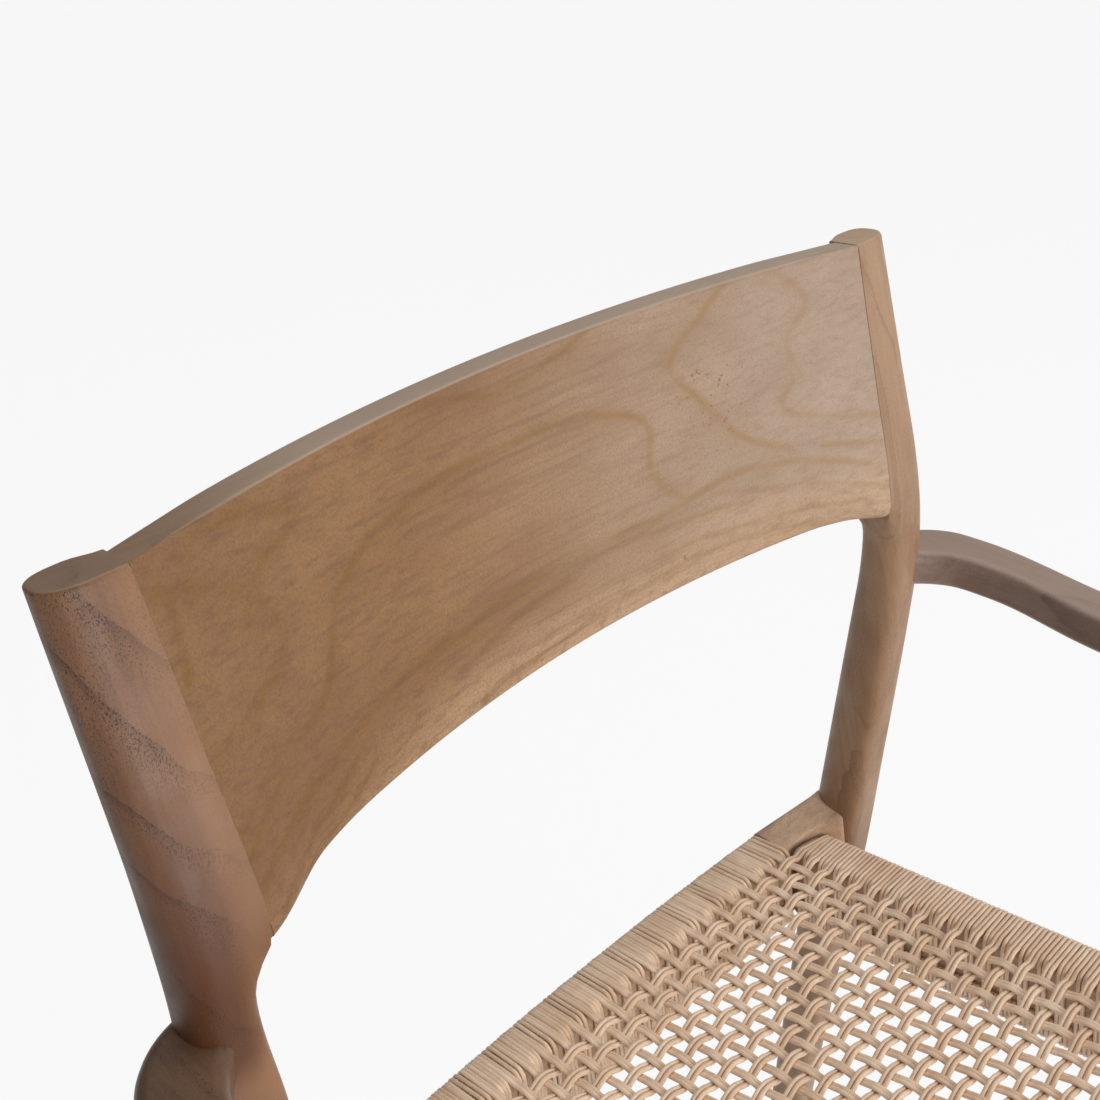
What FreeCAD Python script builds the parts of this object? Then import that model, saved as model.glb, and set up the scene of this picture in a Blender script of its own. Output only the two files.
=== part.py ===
import FreeCAD, Part
import math
import os
from FreeCAD import Vector

# Garden armchair with bent posts, a curved back panel and a woven cord seat.
# Millimetres, +Z up, the sitter faces -Y, the sitter's left is +X.
# The origin is on the floor at the middle of the chair.

# Overall
overall_height = 820.0
overall_depth = 520.0
seat_height = 434.0
back_height = overall_height - seat_height

# Rear legs, which run up into the back posts
foot_half_spacing = 250.0
top_half_spacing = 235.5
foot_size = 27.0
seat_joint_width = 36.0
seat_joint_depth = 37.0
arm_joint_width = 32.5
arm_joint_depth = 33.0
post_top_width = 37.0
post_top_depth = 23.0
panel_joint_depth = 31.0
post_neck_depth = 24.5
knee_place_share = 0.596
knee_reach_share = 0.15
leg_rake_share = 0.1495
back_lean_share = 0.21
section_round_share = 0.87
leg_corner_share = 0.55
leg_corner_fade = 60.0
panel_side_round_share = 0.5
panel_side_reach_share = 1.7
panel_side_blend_power = 4
post_section_counts = (8, 5, 4)

# Back panel
panel_height_share = 0.3886
panel_thickness = 17.0
panel_bow = 42.0
panel_tilt_share = 0.08
seam_top_inset = 13.8
seam_low_inset = 23.6
panel_edge_round = 3.0
panel_low_bevel_height = 30.0
panel_low_bevel_depth = 6.0
panel_bevel_middle_share = 0.25
panel_fillet_height = 28.0

# Seat frame, in its own level frame before it is tipped back
seat_rake_share = 0.0524
rail_height = 54.0
rail_width = 26.0
rail_round = 6.0
front_rail_reach = 13.0
back_rail_reach = 38.7
back_rail_bow = 11.0
back_rail_flare = 14.0
back_rail_end_width = 20.0
side_rail_inset = 27.8
winding_end_gap = 2.5
rail_end_rise = 15.0
rail_end_rise_length = 34.0
rail_end_reach_share = 0.25
rail_direction_share = 0.9
side_dowel_flare_share = 0.25
side_winding_flare_share = 0.5
tenon_thickness = 11.0
tenon_height = 34.0
tenon_depth = 20.0

# Woven cord
cord_diameter = 2.9
warp_pitch = 12.75
weft_pitch = 11.53
pair_width = 5.7
seat_dish = 15.0
net_border = 4.0
winding_clearance = 2.0

# Front legs
front_leg_offset = 1.0
front_leg_setback = 33.0
front_leg_width = 35.0
front_leg_top_width = 31.0

# Armrests
arm_thickness = 23.0
arm_height_share = 0.518
arm_root_setback = 16.5
arm_drop_share = 0.10
elbow_offset = 4.2
elbow_setback = 34.5
elbow_radius = 43.0
arm_root_width = 27.0
arm_mid_width = 31.0
arm_front_width = 28.0
arm_mid_offset = 28.9
arm_mid_place_share = 0.214
arm_front_offset = 1.5
arm_edge_round = 6.0
arm_tenon_diameter = 18.0
arm_tenon_length = 14.0
elbow_turns = (100, 80, 60, 40, 20, 0)
arm_outer_shares = (0.35, 0.7, 1)
arm_inner_shares = (0.3, 0.65, 1)
arm_root_shares = ((0, -0.5), (0.125, 0), (0.5, 0.33), (0.8, 0.42))
arm_rim_length_share = 1.1

# Dowels
panel_dowel_diameter = 6.0
panel_dowel_in_panel = 18.0
panel_dowel_in_post = 12.0
panel_dowel_skew_share = 0.28
panel_dowel_place_shares = (0.28, 0.74)
arm_dowel_diameter = 6.0
arm_dowel_length = 18.0
arm_dowel_spacing = 9.0
arm_dowel_place_shares = (-1.3, -0.35)
arm_dowel_start_share = 0.17
side_dowel_diameter = 8.0
side_dowel_length = 34.0
side_dowel_spacing = 20.0

# Glides and small fixings
glide_diameter = 21.0
glide_height = 4.0
glide_edge_round = 1.0
nail_diameter = 2.5
nail_length = 18.0
nail_head_diameter = 6.0
nail_head_height = 1.2
tack_diameter = 1.6
tack_length = 12.0
tack_head_diameter = 4.5
tack_head_height = 1.0
tack_bow_allowance = 0.125
tack_winding_inset = 8.0
tack_front_inset = 16.0
tack_back_inset = 24.0
overrun = 5.0

origin = Vector(0, 0, 0)
x_axis = Vector(1, 0, 0)
y_axis = Vector(0, 1, 0)
z_axis = Vector(0, 0, 1)
rear_foot_y = (overall_depth - foot_size) / 2 + leg_rake_share * glide_height
knee_height = seat_height + back_height * knee_place_share
knee_reach = back_height * knee_reach_share
panel_height = back_height * panel_height_share
panel_low = overall_height - panel_height
arm_root_height = seat_height + back_height * arm_height_share
seat_rake_angle = math.degrees(math.atan(seat_rake_share))
arm_drop_angle = math.degrees(math.atan(arm_drop_share))


def save(name, shape):
    """Writes one node."""
    shape.exportStep(os.path.join("parts", name + ".step"))


def mirrored(shape):
    """The same piece on the other side of the chair."""
    return shape.mirror(origin, x_axis)


def group(shapes):
    """Several separate solids that share one node."""
    return Part.makeCompound(shapes)


def single(shape):
    """The one solid of a shape that a cut or a joint has left in a wrapper."""
    solids = sorted(shape.Solids, key=lambda solid: solid.Volume)
    return solids[-1]


def curve(points):
    """A smooth edge through a few points."""
    spline = Part.BSplineCurve()
    spline.interpolate(points)
    return spline.toShape()


def arc(first, middle, last):
    """A round edge through three points."""
    return Part.Arc(first, middle, last).toShape()


def line(first, last):
    """A straight edge."""
    return Part.makeLine(first, last)


def prism(edges, direction):
    """A solid drawn out from a flat outline."""
    wire = Part.Wire(Part.__sortEdges__(edges))
    return Part.Face(wire).extrude(direction)


def block(low, high):
    """A box between two corners."""
    size = high.sub(low)
    return Part.makeBox(size.x, size.y, size.z, low)


def mix(low, high, share):
    """A value part of the way between two others."""
    return low + (high - low) * share


def stepped(height, stations):
    """A size read off a table of heights and sizes."""
    for (low_at, low), (high_at, high) in zip(stations, stations[1:]):
        if height <= high_at:
            return mix(low, high, (height - low_at) / (high_at - low_at))
    return stations[-1][1]


# Rear legs and posts

def post_x(height):
    """Distance of the post's middle from the chair's middle."""
    return mix(foot_half_spacing, top_half_spacing, height / overall_height)


def post_y(height):
    """Place of the post's middle from front to back, with a soft bend at the knee."""
    knee_y = rear_foot_y - leg_rake_share * knee_height
    start = knee_height - knee_reach
    if height <= start:
        return rear_foot_y - leg_rake_share * height
    if height >= knee_height + knee_reach:
        return knee_y + back_lean_share * (height - knee_height)
    turn = (leg_rake_share + back_lean_share) * (height - start) ** 2 / (4 * knee_reach)
    return rear_foot_y - leg_rake_share * height + turn


seat_joint_height = seat_height - rail_height / 2
post_widths = ((glide_height, foot_size), (seat_joint_height, seat_joint_width),
               (arm_root_height, arm_joint_width), (overall_height, post_top_width))
post_depths = ((glide_height, foot_size), (seat_joint_height, seat_joint_depth),
               (arm_root_height, arm_joint_depth), (panel_low, panel_joint_depth),
               (knee_height + knee_reach, post_neck_depth), (overall_height, post_top_depth))


seam_top_half_spacing = post_x(overall_height) - seam_top_inset
seam_low_half_spacing = post_x(panel_low) - seam_low_inset


def power(value, share):
    """A signed power, which squares up or rounds off a section."""
    return math.copysign(abs(value) ** share, value)


def section(center, half_width, inner_half_width, half_depth, inner_round_share, steps=32):
    """A closed post section whose inner front quarter can be squared to meet the panel."""
    points = []
    for step in range(steps):
        turn = 2 * math.pi * step / steps
        across, along = math.cos(turn), math.sin(turn)
        inner = across < 0
        reach = inner_half_width if inner else half_width
        round_share = inner_round_share if inner and along < 0 else section_round_share
        points.append(center + Vector(reach * power(across, round_share),
                                      half_depth * power(along, round_share), 0))
    spline = Part.BSplineCurve()
    spline.interpolate(points, PeriodicFlag=True)
    return Part.Wire([spline.toShape()])


def seam_x(height):
    """Distance of the panel's end seam from the chair's middle."""
    share = (height - panel_low) / panel_height
    return mix(seam_low_half_spacing, seam_top_half_spacing, share)


def post_section(height):
    """The section of the left post at a height."""
    half_width = stepped(height, post_widths) / 2
    half_depth = stepped(height, post_depths) / 2
    center = Vector(post_x(height), post_y(height), height)
    joined = (center.x - seam_x(height)) * panel_side_reach_share
    share = (height - panel_low + panel_fillet_height) / panel_fillet_height
    blend = min(max(share, 0), 1) ** panel_side_blend_power
    inner = mix(half_width, joined, blend)
    squared = min(max((arm_root_height - height) / leg_corner_fade, 0), 1)
    plain_share = mix(section_round_share, leg_corner_share, squared)
    round_share = mix(plain_share, panel_side_round_share, blend)
    return section(center, half_width, inner, half_depth, round_share)


def seam_wedge():
    """All that lies between the two end seams of the panel."""
    low = panel_low - panel_fillet_height
    high = overall_height + overrun
    corners = [Vector(-seam_x(low), -overall_depth, low), Vector(seam_x(low), -overall_depth, low),
               Vector(seam_x(high), -overall_depth, high), Vector(-seam_x(high), -overall_depth, high)]
    edges = [line(corners[k - 1], corners[k]) for k in range(4)]
    return prism(edges, y_axis * (2 * overall_depth))


def make_post():
    """The left rear leg and back post."""
    levels = (glide_height, panel_low - panel_fillet_height, panel_low, overall_height)
    lengths = []
    for (low, high), steps in zip(zip(levels, levels[1:]), post_section_counts):
        heights = [mix(low, high, step / steps) for step in range(steps + 1)]
        lengths.append(Part.makeLoft([post_section(height) for height in heights], True))
    post = lengths[0].fuse(lengths[1:])
    return single(post.cut(seam_wedge()))


# Back panel

def panel_frame():
    """Top front point at the panel's middle and the axis that the panel turns about."""
    half = seam_top_half_spacing
    radius = (half ** 2 + panel_bow ** 2) / (2 * panel_bow)
    tilt = math.atan(panel_tilt_share)
    axis = Vector(0, math.sin(tilt), math.cos(tilt))
    front = post_y(overall_height) - post_top_depth / 2
    top = Vector(0, front + panel_bow, overall_height - panel_bow * panel_tilt_share)
    outward = Vector(0, math.cos(tilt), -math.sin(tilt))
    return top, top - outward * radius, axis, radius


def panel_profile():
    """Outline of the panel at its middle, flat on top and with a wide low front bevel."""
    top = panel_frame()[0]
    lean = math.atan(back_lean_share)
    down = Vector(0, -math.sin(lean), -math.cos(lean))
    back = Vector(0, math.cos(lean), -math.sin(lean))
    soft = panel_edge_round
    height = panel_height / math.cos(lean)
    diagonal = soft * (1 - math.sqrt(0.5))
    top_slope = math.tan(lean - math.atan(panel_tilt_share))

    def at(along, across):
        return top + down * along + back * across

    def below_top(along, across):
        return at(along - across * top_slope, across)

    bevel_start = height - panel_low_bevel_height
    bevel_end = height - soft
    bevel_middle = mix(bevel_start, bevel_end, 0.5)
    depth = panel_low_bevel_depth
    edges = [
        arc(at(soft, 0), below_top(diagonal, diagonal), below_top(0, soft)),
        line(below_top(0, soft), below_top(0, panel_thickness - soft)),
        arc(below_top(0, panel_thickness - soft), below_top(diagonal, panel_thickness - diagonal),
            below_top(soft, panel_thickness)),
        line(below_top(soft, panel_thickness), at(height - soft, panel_thickness)),
        arc(at(height - soft, panel_thickness), at(height - diagonal, panel_thickness - diagonal),
            at(height, panel_thickness - soft)),
        line(at(height, panel_thickness - soft), at(height, depth + soft)),
        arc(at(height, depth + soft), at(height - diagonal, depth + diagonal), at(bevel_end, depth)),
        arc(at(bevel_end, depth), at(bevel_middle, depth * panel_bevel_middle_share), at(bevel_start, 0)),
        line(at(bevel_start, 0), at(soft, 0)),
    ]
    return Part.Face(Part.Wire(edges))


def make_panel():
    """The curved back panel between its end seams."""
    top, pivot, axis, radius = panel_frame()
    swing = math.degrees(math.asin(top_half_spacing / radius))
    face = panel_profile()
    face.rotate(pivot, axis, swing)
    blank = face.revolve(pivot, axis, -2 * swing)
    return single(blank.common(seam_wedge()))


def panel_dowels():
    """Two dowels at each end seam, left side first."""
    dowels = []
    top_front = post_y(overall_height) - post_top_depth / 2
    for share in panel_dowel_place_shares:
        height = mix(panel_low, overall_height, share)
        front = top_front - back_lean_share * (overall_height - height)
        middle = Vector(seam_x(height), front + panel_thickness / 2, height)
        direction = Vector(1, -panel_dowel_skew_share, 0).normalize()
        start = middle - direction * panel_dowel_in_panel
        length = panel_dowel_in_panel + panel_dowel_in_post
        dowels.append(Part.makeCylinder(panel_dowel_diameter / 2, length, start, direction))
    return dowels


# Seat frame

front_leg_x = foot_half_spacing + front_leg_offset
front_leg_y = front_leg_setback - overall_depth / 2
seat_front = front_leg_y - front_rail_reach
seat_back = post_y(seat_height) + back_rail_reach
side_rail_outer = post_x(seat_height) - side_rail_inset
winding_half_length = side_rail_outer - rail_width - winding_end_gap


def tipped(shape):
    """Moves a piece from the seat's level frame to its place, tipped back."""
    placed = shape.copy()
    placed.rotate(origin, x_axis, -seat_rake_angle)
    placed.translate(z_axis * seat_height)
    return placed


def rail_bow(x):
    """How far the back rail's line lies forward of its middle at a distance across."""
    return back_rail_bow * (x / foot_half_spacing) ** 2


wood_top = -cord_diameter
wood_low = wood_top - rail_height


def band(half_length, front, back, low, high):
    """A part of the back rail's curved band between two lines from front to back."""
    drop = Vector(0, -rail_bow(half_length), 0)
    edges = [
        arc(Vector(-half_length, front, low) + drop, Vector(0, front, low),
            Vector(half_length, front, low) + drop),
        line(Vector(half_length, front, low) + drop, Vector(half_length, back, low) + drop),
        arc(Vector(half_length, back, low) + drop, Vector(0, back, low),
            Vector(-half_length, back, low) + drop),
        line(Vector(-half_length, back, low) + drop, Vector(-half_length, front, low) + drop),
    ]
    return prism(edges, z_axis * (high - low))


def long_edges(shape, direction, length):
    """The edges of a rail that run along it."""
    found = []
    for edge in shape.Edges:
        if edge.Length < length:
            continue
        chord = edge.Vertexes[-1].Point.sub(edge.Vertexes[0].Point).normalize()
        if abs(chord.dot(direction)) > rail_direction_share:
            found.append(edge)
    return found


def softened(shape, radius, direction, length):
    """A rail with its long edges rounded."""
    return shape.makeFillet(radius, long_edges(shape, direction, length))


def back_rail_end(side):
    """The bare end of the back rail, which narrows to the leg and rises against it."""
    start = winding_half_length
    end = post_x(seat_height) - seat_joint_width * rail_end_reach_share
    back = seat_back - rail_bow(start)
    front = back - rail_width
    end_back = back - back_rail_flare
    plan = [Vector(start, front, wood_low), Vector(start, back, wood_low),
            Vector(end, end_back, wood_low), Vector(end, end_back - back_rail_end_width, wood_low)]
    edges = [line(plan[k - 1], plan[k]) for k in range(4)]
    plan_solid = prism(edges, z_axis * (rail_height + rail_end_rise))
    leg_face = post_x(seat_height) - seat_joint_width / 2
    rise_start = leg_face - rail_end_rise_length
    radius = (rail_end_rise_length ** 2 + rail_end_rise ** 2) / (2 * rail_end_rise)
    half_turn = math.asin(rail_end_rise_length / radius) / 2
    rise_middle = Vector(rise_start + radius * math.sin(half_turn), 0,
                         wood_top + radius * (1 - math.cos(half_turn)))
    top = wood_top + rail_end_rise
    view = [
        line(Vector(start - overrun, 0, wood_low - overrun), Vector(start - overrun, 0, wood_top)),
        line(Vector(start - overrun, 0, wood_top), Vector(rise_start, 0, wood_top)),
        arc(Vector(rise_start, 0, wood_top), rise_middle, Vector(leg_face, 0, top)),
        line(Vector(leg_face, 0, top), Vector(end + overrun, 0, top)),
        line(Vector(end + overrun, 0, top), Vector(end + overrun, 0, wood_low - overrun)),
        line(Vector(end + overrun, 0, wood_low - overrun), Vector(start - overrun, 0, wood_low - overrun)),
    ]
    view_solid = prism(view, y_axis * (2 * seat_back))
    solid = plan_solid.common(view_solid)
    return mirrored(solid) if side < 0 else solid


def back_tenon(side):
    """The back rail's tenon, which enters the leg."""
    leg_middle = post_x(seat_height)
    leg_face = leg_middle - seat_joint_width / 2
    center_y = seat_back - rail_bow(winding_half_length) - back_rail_flare - back_rail_end_width / 2
    low = wood_low + (rail_height - tenon_height) / 2
    start = Vector(winding_half_length, center_y - tenon_thickness / 2, low)
    end = Vector(leg_face + tenon_depth, center_y + tenon_thickness / 2, low + tenon_height)
    solid = block(start, end)
    return mirrored(solid) if side < 0 else solid


def front_tenon(side):
    """The front rail's tenon, which enters the leg."""
    leg_face = front_leg_x - front_leg_width / 2
    low = wood_low + (rail_height - tenon_height) / 2
    center_y = seat_front + rail_width / 2
    start = Vector(winding_half_length, center_y - tenon_thickness / 2, low)
    end = Vector(leg_face + tenon_depth, center_y + tenon_thickness / 2, low + tenon_height)
    solid = block(start, end)
    return mirrored(solid) if side < 0 else solid


def make_back_rail(posts):
    """The bowed back rail, coped to the posts and tenoned into them."""
    bar = band(winding_half_length, seat_back - rail_width, seat_back, wood_low, wood_top)
    bar = softened(bar, rail_round, x_axis, 2 * rail_height)
    rail = tipped(bar.fuse([back_rail_end(1), back_rail_end(-1)]))
    rail = rail.cut(posts)
    return rail.fuse([tipped(back_tenon(1)), tipped(back_tenon(-1))]).removeSplitter()


def make_front_rail(legs):
    """The straight front rail, coped to the front legs and tenoned into them."""
    low = Vector(-front_leg_x, seat_front, wood_low)
    high = Vector(front_leg_x, seat_front + rail_width, wood_top)
    bar = tipped(softened(block(low, high), rail_round, x_axis, 2 * rail_height))
    bar = single(bar.cut(legs))
    return bar.fuse([tipped(front_tenon(1)), tipped(front_tenon(-1))]).removeSplitter()


def make_side_rail(back_rail, front_rail):
    """The left side rail, between the front and back rails."""
    low = Vector(side_rail_outer - rail_width, seat_front + rail_width, wood_low)
    high = Vector(side_rail_outer, seat_back - rail_width, wood_top)
    bar = tipped(softened(block(low, high), rail_round, y_axis, 2 * rail_height))
    return single(bar.cut([back_rail, front_rail]))


def side_dowels():
    """Dowels between the side rails and the front and back rails, left side."""
    dowels = []
    x = side_rail_outer - rail_width / 2
    back_y = seat_back - rail_width - rail_bow(x) - back_rail_flare * side_dowel_flare_share
    for y in (seat_front + rail_width, back_y):
        for side in (-0.5, 0.5):
            z = wood_low + rail_height / 2 + side * side_dowel_spacing
            start = Vector(x, y - side_dowel_length / 2, z)
            dowel = Part.makeCylinder(side_dowel_diameter / 2, side_dowel_length, start, y_axis)
            dowels.append(tipped(dowel))
    return dowels


# Windings and woven seat

def sleeve(outer, radius, direction):
    """A winding's outer form with soft corners."""
    return softened(outer, radius, direction, 2 * rail_height)


def make_back_winding(back_rail):
    """The cord wound on the back rail."""
    wrap = cord_diameter
    body = band(winding_half_length - winding_clearance, seat_back - rail_width - wrap, seat_back + wrap,
                wood_low - wrap, wood_top + wrap)
    return single(tipped(sleeve(body, rail_round + wrap, x_axis)).cut(back_rail))


def make_front_winding(front_rail):
    """The cord wound on the front rail."""
    wrap = cord_diameter
    half = winding_half_length - winding_clearance
    body = block(Vector(-half, seat_front - wrap, wood_low - wrap),
                 Vector(half, seat_front + rail_width + wrap, wood_top + wrap))
    return single(tipped(sleeve(body, rail_round + wrap, x_axis)).cut(front_rail))


def make_side_winding(side_rail, others):
    """The cord wound on the left side rail."""
    wrap = cord_diameter
    back_face = seat_back - rail_width - rail_bow(side_rail_outer)
    back_end = back_face - back_rail_flare * side_winding_flare_share - wrap - winding_clearance
    front_end = seat_front + rail_width + wrap + winding_clearance
    body = block(Vector(side_rail_outer - rail_width - wrap, front_end, wood_low - wrap),
                 Vector(side_rail_outer + wrap, back_end, wood_top + wrap))
    body = tipped(sleeve(body, rail_round + wrap, y_axis))
    return single(body.cut([side_rail] + others))


net_half_width = side_rail_outer - rail_width / 2
net_front = seat_front + rail_width / 2
net_back = seat_back - rail_width / 2


def net_level(x, y):
    """How far the woven seat sags at a place."""
    across = x / net_half_width
    middle = (net_front + net_back) / 2
    along = (y - middle) / (net_back - middle)
    return -seat_dish * max(1 - across ** 2, 0) * max(1 - along ** 2, 0)


def net_sheet(top):
    """A dished sheet as thick as the cord."""
    steps = 12
    rows = []
    for i in range(steps + 1):
        x = mix(-net_half_width, net_half_width, i / steps)
        row = []
        for j in range(steps + 1):
            y = mix(net_front, net_back, j / steps)
            row.append(Vector(x, y, top + net_level(x, y)))
        rows.append(row)
    surface = Part.BSplineSurface()
    surface.interpolate(rows)
    return surface.toShape().extrude(Vector(0, 0, -cord_diameter))


def slots(low, high, pitch, make_slot):
    """Evenly spaced gaps between cord pairs, centred between two limits."""
    count = int((high - low) // pitch)
    start = (low + high - count * pitch) / 2
    return [make_slot(start + (k + 0.5) * pitch) for k in range(count)]


inner_half_width = side_rail_outer - rail_width - cord_diameter
inner_front = seat_front + rail_width + cord_diameter
inner_back = seat_back - rail_width - cord_diameter - back_rail_bow


def make_warp(rails):
    """The cord pairs that run from front to back, as one holed net."""
    gap = warp_pitch - pair_width

    def slot(x):
        return block(Vector(x - gap / 2, inner_front + net_border, -rail_height),
                     Vector(x + gap / 2, inner_back - rail_bow(x) + back_rail_bow - net_border, rail_height))

    extent = block(Vector(-inner_half_width, net_front, -rail_height),
                   Vector(inner_half_width, net_back, rail_height))
    gaps = slots(-inner_half_width, inner_half_width, warp_pitch, slot)
    net = net_sheet(0).common(extent).cut(gaps)
    return single(tipped(net).cut(rails))


def make_weft(rails):
    """The cord pairs that run from side to side, as one holed net."""
    gap = weft_pitch - pair_width

    def slot(y):
        return block(Vector(-inner_half_width + net_border, y - gap / 2, -rail_height),
                     Vector(inner_half_width - net_border, y + gap / 2, rail_height))

    extent = block(Vector(-net_half_width, inner_front, -rail_height),
                   Vector(net_half_width, inner_back + back_rail_bow, rail_height))
    gaps = slots(inner_front, inner_back, weft_pitch, slot)
    net = net_sheet(-cord_diameter).common(extent).cut(gaps)
    return single(tipped(net).cut(rails))


# Front legs and armrests

arm_root_x = post_x(arm_root_height)
arm_root_y = post_y(arm_root_height) - arm_root_setback
elbow_x = arm_root_x + elbow_offset
elbow_y = post_y(arm_root_height) - elbow_setback
arm_mid_x = arm_root_x + arm_mid_offset
arm_mid_y = mix(elbow_y, -overall_depth / 2, arm_mid_place_share)
arm_front_x = front_leg_x + arm_front_offset


def arm_level(y):
    """Height of the armrest's top at a place from front to back."""
    return arm_root_height - arm_drop_share * (arm_root_y - y)


def make_front_leg():
    """The left front leg, cut to the armrest's slope and tenoned up into it."""
    top = arm_level(front_leg_y) + overrun
    sizes = ((glide_height, foot_size), (seat_joint_height, front_leg_width), (top, front_leg_top_width))
    sections = []
    for share in (0, 0.25, 0.5, 0.75, 1):
        height = mix(glide_height, top, share)
        half = stepped(height, sizes) / 2
        center = Vector(front_leg_x, front_leg_y, height)
        sections.append(section(center, half, half, half, section_round_share))
    leg = Part.makeLoft(sections, True)
    start = Vector(front_leg_x, front_leg_y, arm_level(front_leg_y) - arm_thickness - overrun)
    tenon = Part.makeCylinder(arm_tenon_diameter / 2, arm_tenon_length + overrun, start, z_axis)
    return single(leg.cut(arm_blank(0)).cut(arm_ceiling())), tenon


def arm_ceiling():
    """All that lies above the armrest's underside."""
    side = overall_depth
    solid = block(Vector(-side, -side, -arm_thickness), Vector(side, side, side))
    return sloped(solid)


def sloped(shape):
    """Moves a piece from the armrest's level frame to its slope."""
    placed = shape.copy()
    placed.rotate(Vector(0, arm_root_y, 0), x_axis, arm_drop_angle)
    placed.translate(z_axis * arm_root_height)
    return placed


def arm_outline():
    """The armrest's plan, with a round elbow beside the post."""
    half_front = arm_front_width / 2
    half_mid = arm_mid_width / 2
    slope_length = math.hypot(1, arm_drop_share)
    tip_y = arm_root_y - (arm_root_y + overall_depth / 2) * slope_length + half_front
    elbow = []
    for turn in elbow_turns:
        swing = math.radians(turn)
        reach = Vector(math.cos(swing), math.sin(swing), 0) * elbow_radius
        elbow.append(Vector(elbow_x, elbow_y, 0) + reach)
    outer = elbow + [Vector(arm_mid_x + half_mid, arm_mid_y, 0)]
    outer += [Vector(mix(arm_mid_x + half_mid, arm_front_x + half_front, share),
                     mix(arm_mid_y, tip_y, share), 0) for share in arm_outer_shares]
    root = elbow_x + elbow_radius - arm_root_width
    inner = [Vector(arm_front_x - half_front, tip_y, 0)]
    inner += [Vector(mix(arm_front_x - half_front, arm_mid_x - half_mid, share),
                     mix(tip_y, arm_mid_y, share), 0) for share in arm_inner_shares]
    inner += [Vector(root - arm_root_width * across, elbow_y + elbow_radius * along, 0)
              for across, along in arm_root_shares]
    tip = Vector(arm_front_x, tip_y - half_front, 0)
    return [curve(outer), arc(outer[-1], tip, inner[0]), curve(inner), line(inner[-1], elbow[0])]


def arm_blank(soft):
    """The whole armrest before it is coped to the post."""
    solid = prism(arm_outline(), z_axis * (-arm_thickness))
    if soft:
        rims = []
        for edge in solid.Edges:
            flat = abs(edge.Vertexes[0].Point.z - edge.Vertexes[-1].Point.z) < soft / 2
            if flat and edge.Length > arm_root_width * arm_rim_length_share:
                rims.append(edge)
        solid = solid.makeFillet(soft, rims)
    return sloped(solid)


def arm_dowels():
    """Two dowels between the left armrest and its post."""
    dowels = []
    for share in arm_dowel_place_shares:
        y = post_y(arm_root_height) + arm_dowel_spacing * share
        z = arm_level(y) - arm_thickness / 2
        start = Vector(post_x(z) + arm_joint_width * arm_dowel_start_share, y, z)
        dowels.append(Part.makeCylinder(arm_dowel_diameter / 2, arm_dowel_length, start, x_axis))
    return dowels


# Feet and small fixings

def glide_at(x, y):
    """A round glide with a soft lower rim."""
    disc = Part.makeCylinder(glide_diameter / 2, glide_height, Vector(x, y, 0))
    rim = [edge for edge in disc.Edges if edge.BoundBox.ZMax < glide_height / 2]
    return disc.makeFillet(glide_edge_round, rim)


def nail_at(x, y):
    """A nail driven up through the glide into the foot."""
    start = glide_height / 2
    head = Part.makeCylinder(nail_head_diameter / 2, nail_head_height, Vector(x, y, start))
    shank = Part.makeCylinder(nail_diameter / 2, nail_length, Vector(x, y, start))
    return head.fuse(shank).removeSplitter()


def nail_hole_at(x, y):
    """The room that a nail takes in the glide."""
    recess = Part.makeCylinder(nail_head_diameter / 2, glide_height / 2 + nail_head_height, Vector(x, y, 0))
    shank = Part.makeCylinder(nail_diameter / 2, nail_length, Vector(x, y, glide_height / 2))
    return recess.fuse(shank)


def tack(place, direction):
    """A tack driven through the winding into a rail; the place is on the winding's face."""
    head = Part.makeCylinder(tack_head_diameter / 2, tack_head_height, place - direction * tack_head_height,
                             direction)
    shank = Part.makeCylinder(tack_diameter / 2, tack_length, place, direction)
    return tipped(head.fuse(shank).removeSplitter())


def cord_tacks():
    """Tacks near both ends of each winding, on the rails' inner faces."""
    z = wood_low + rail_height / 4
    inset = winding_half_length - tack_winding_inset
    tacks = []
    for side in (-1, 1):
        tacks.append(tack(Vector(side * inset, inner_front, z), Vector(0, -1, 0)))
        face = seat_back - rail_width - cord_diameter - rail_bow(inset)
        tacks.append(tack(Vector(side * inset, face + tack_bow_allowance, z), y_axis))
        for y in (inner_front + tack_front_inset, inner_back - tack_back_inset):
            tacks.append(tack(Vector(side * inner_half_width, y, z), Vector(side, 0, 0)))
    return tacks


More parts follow.
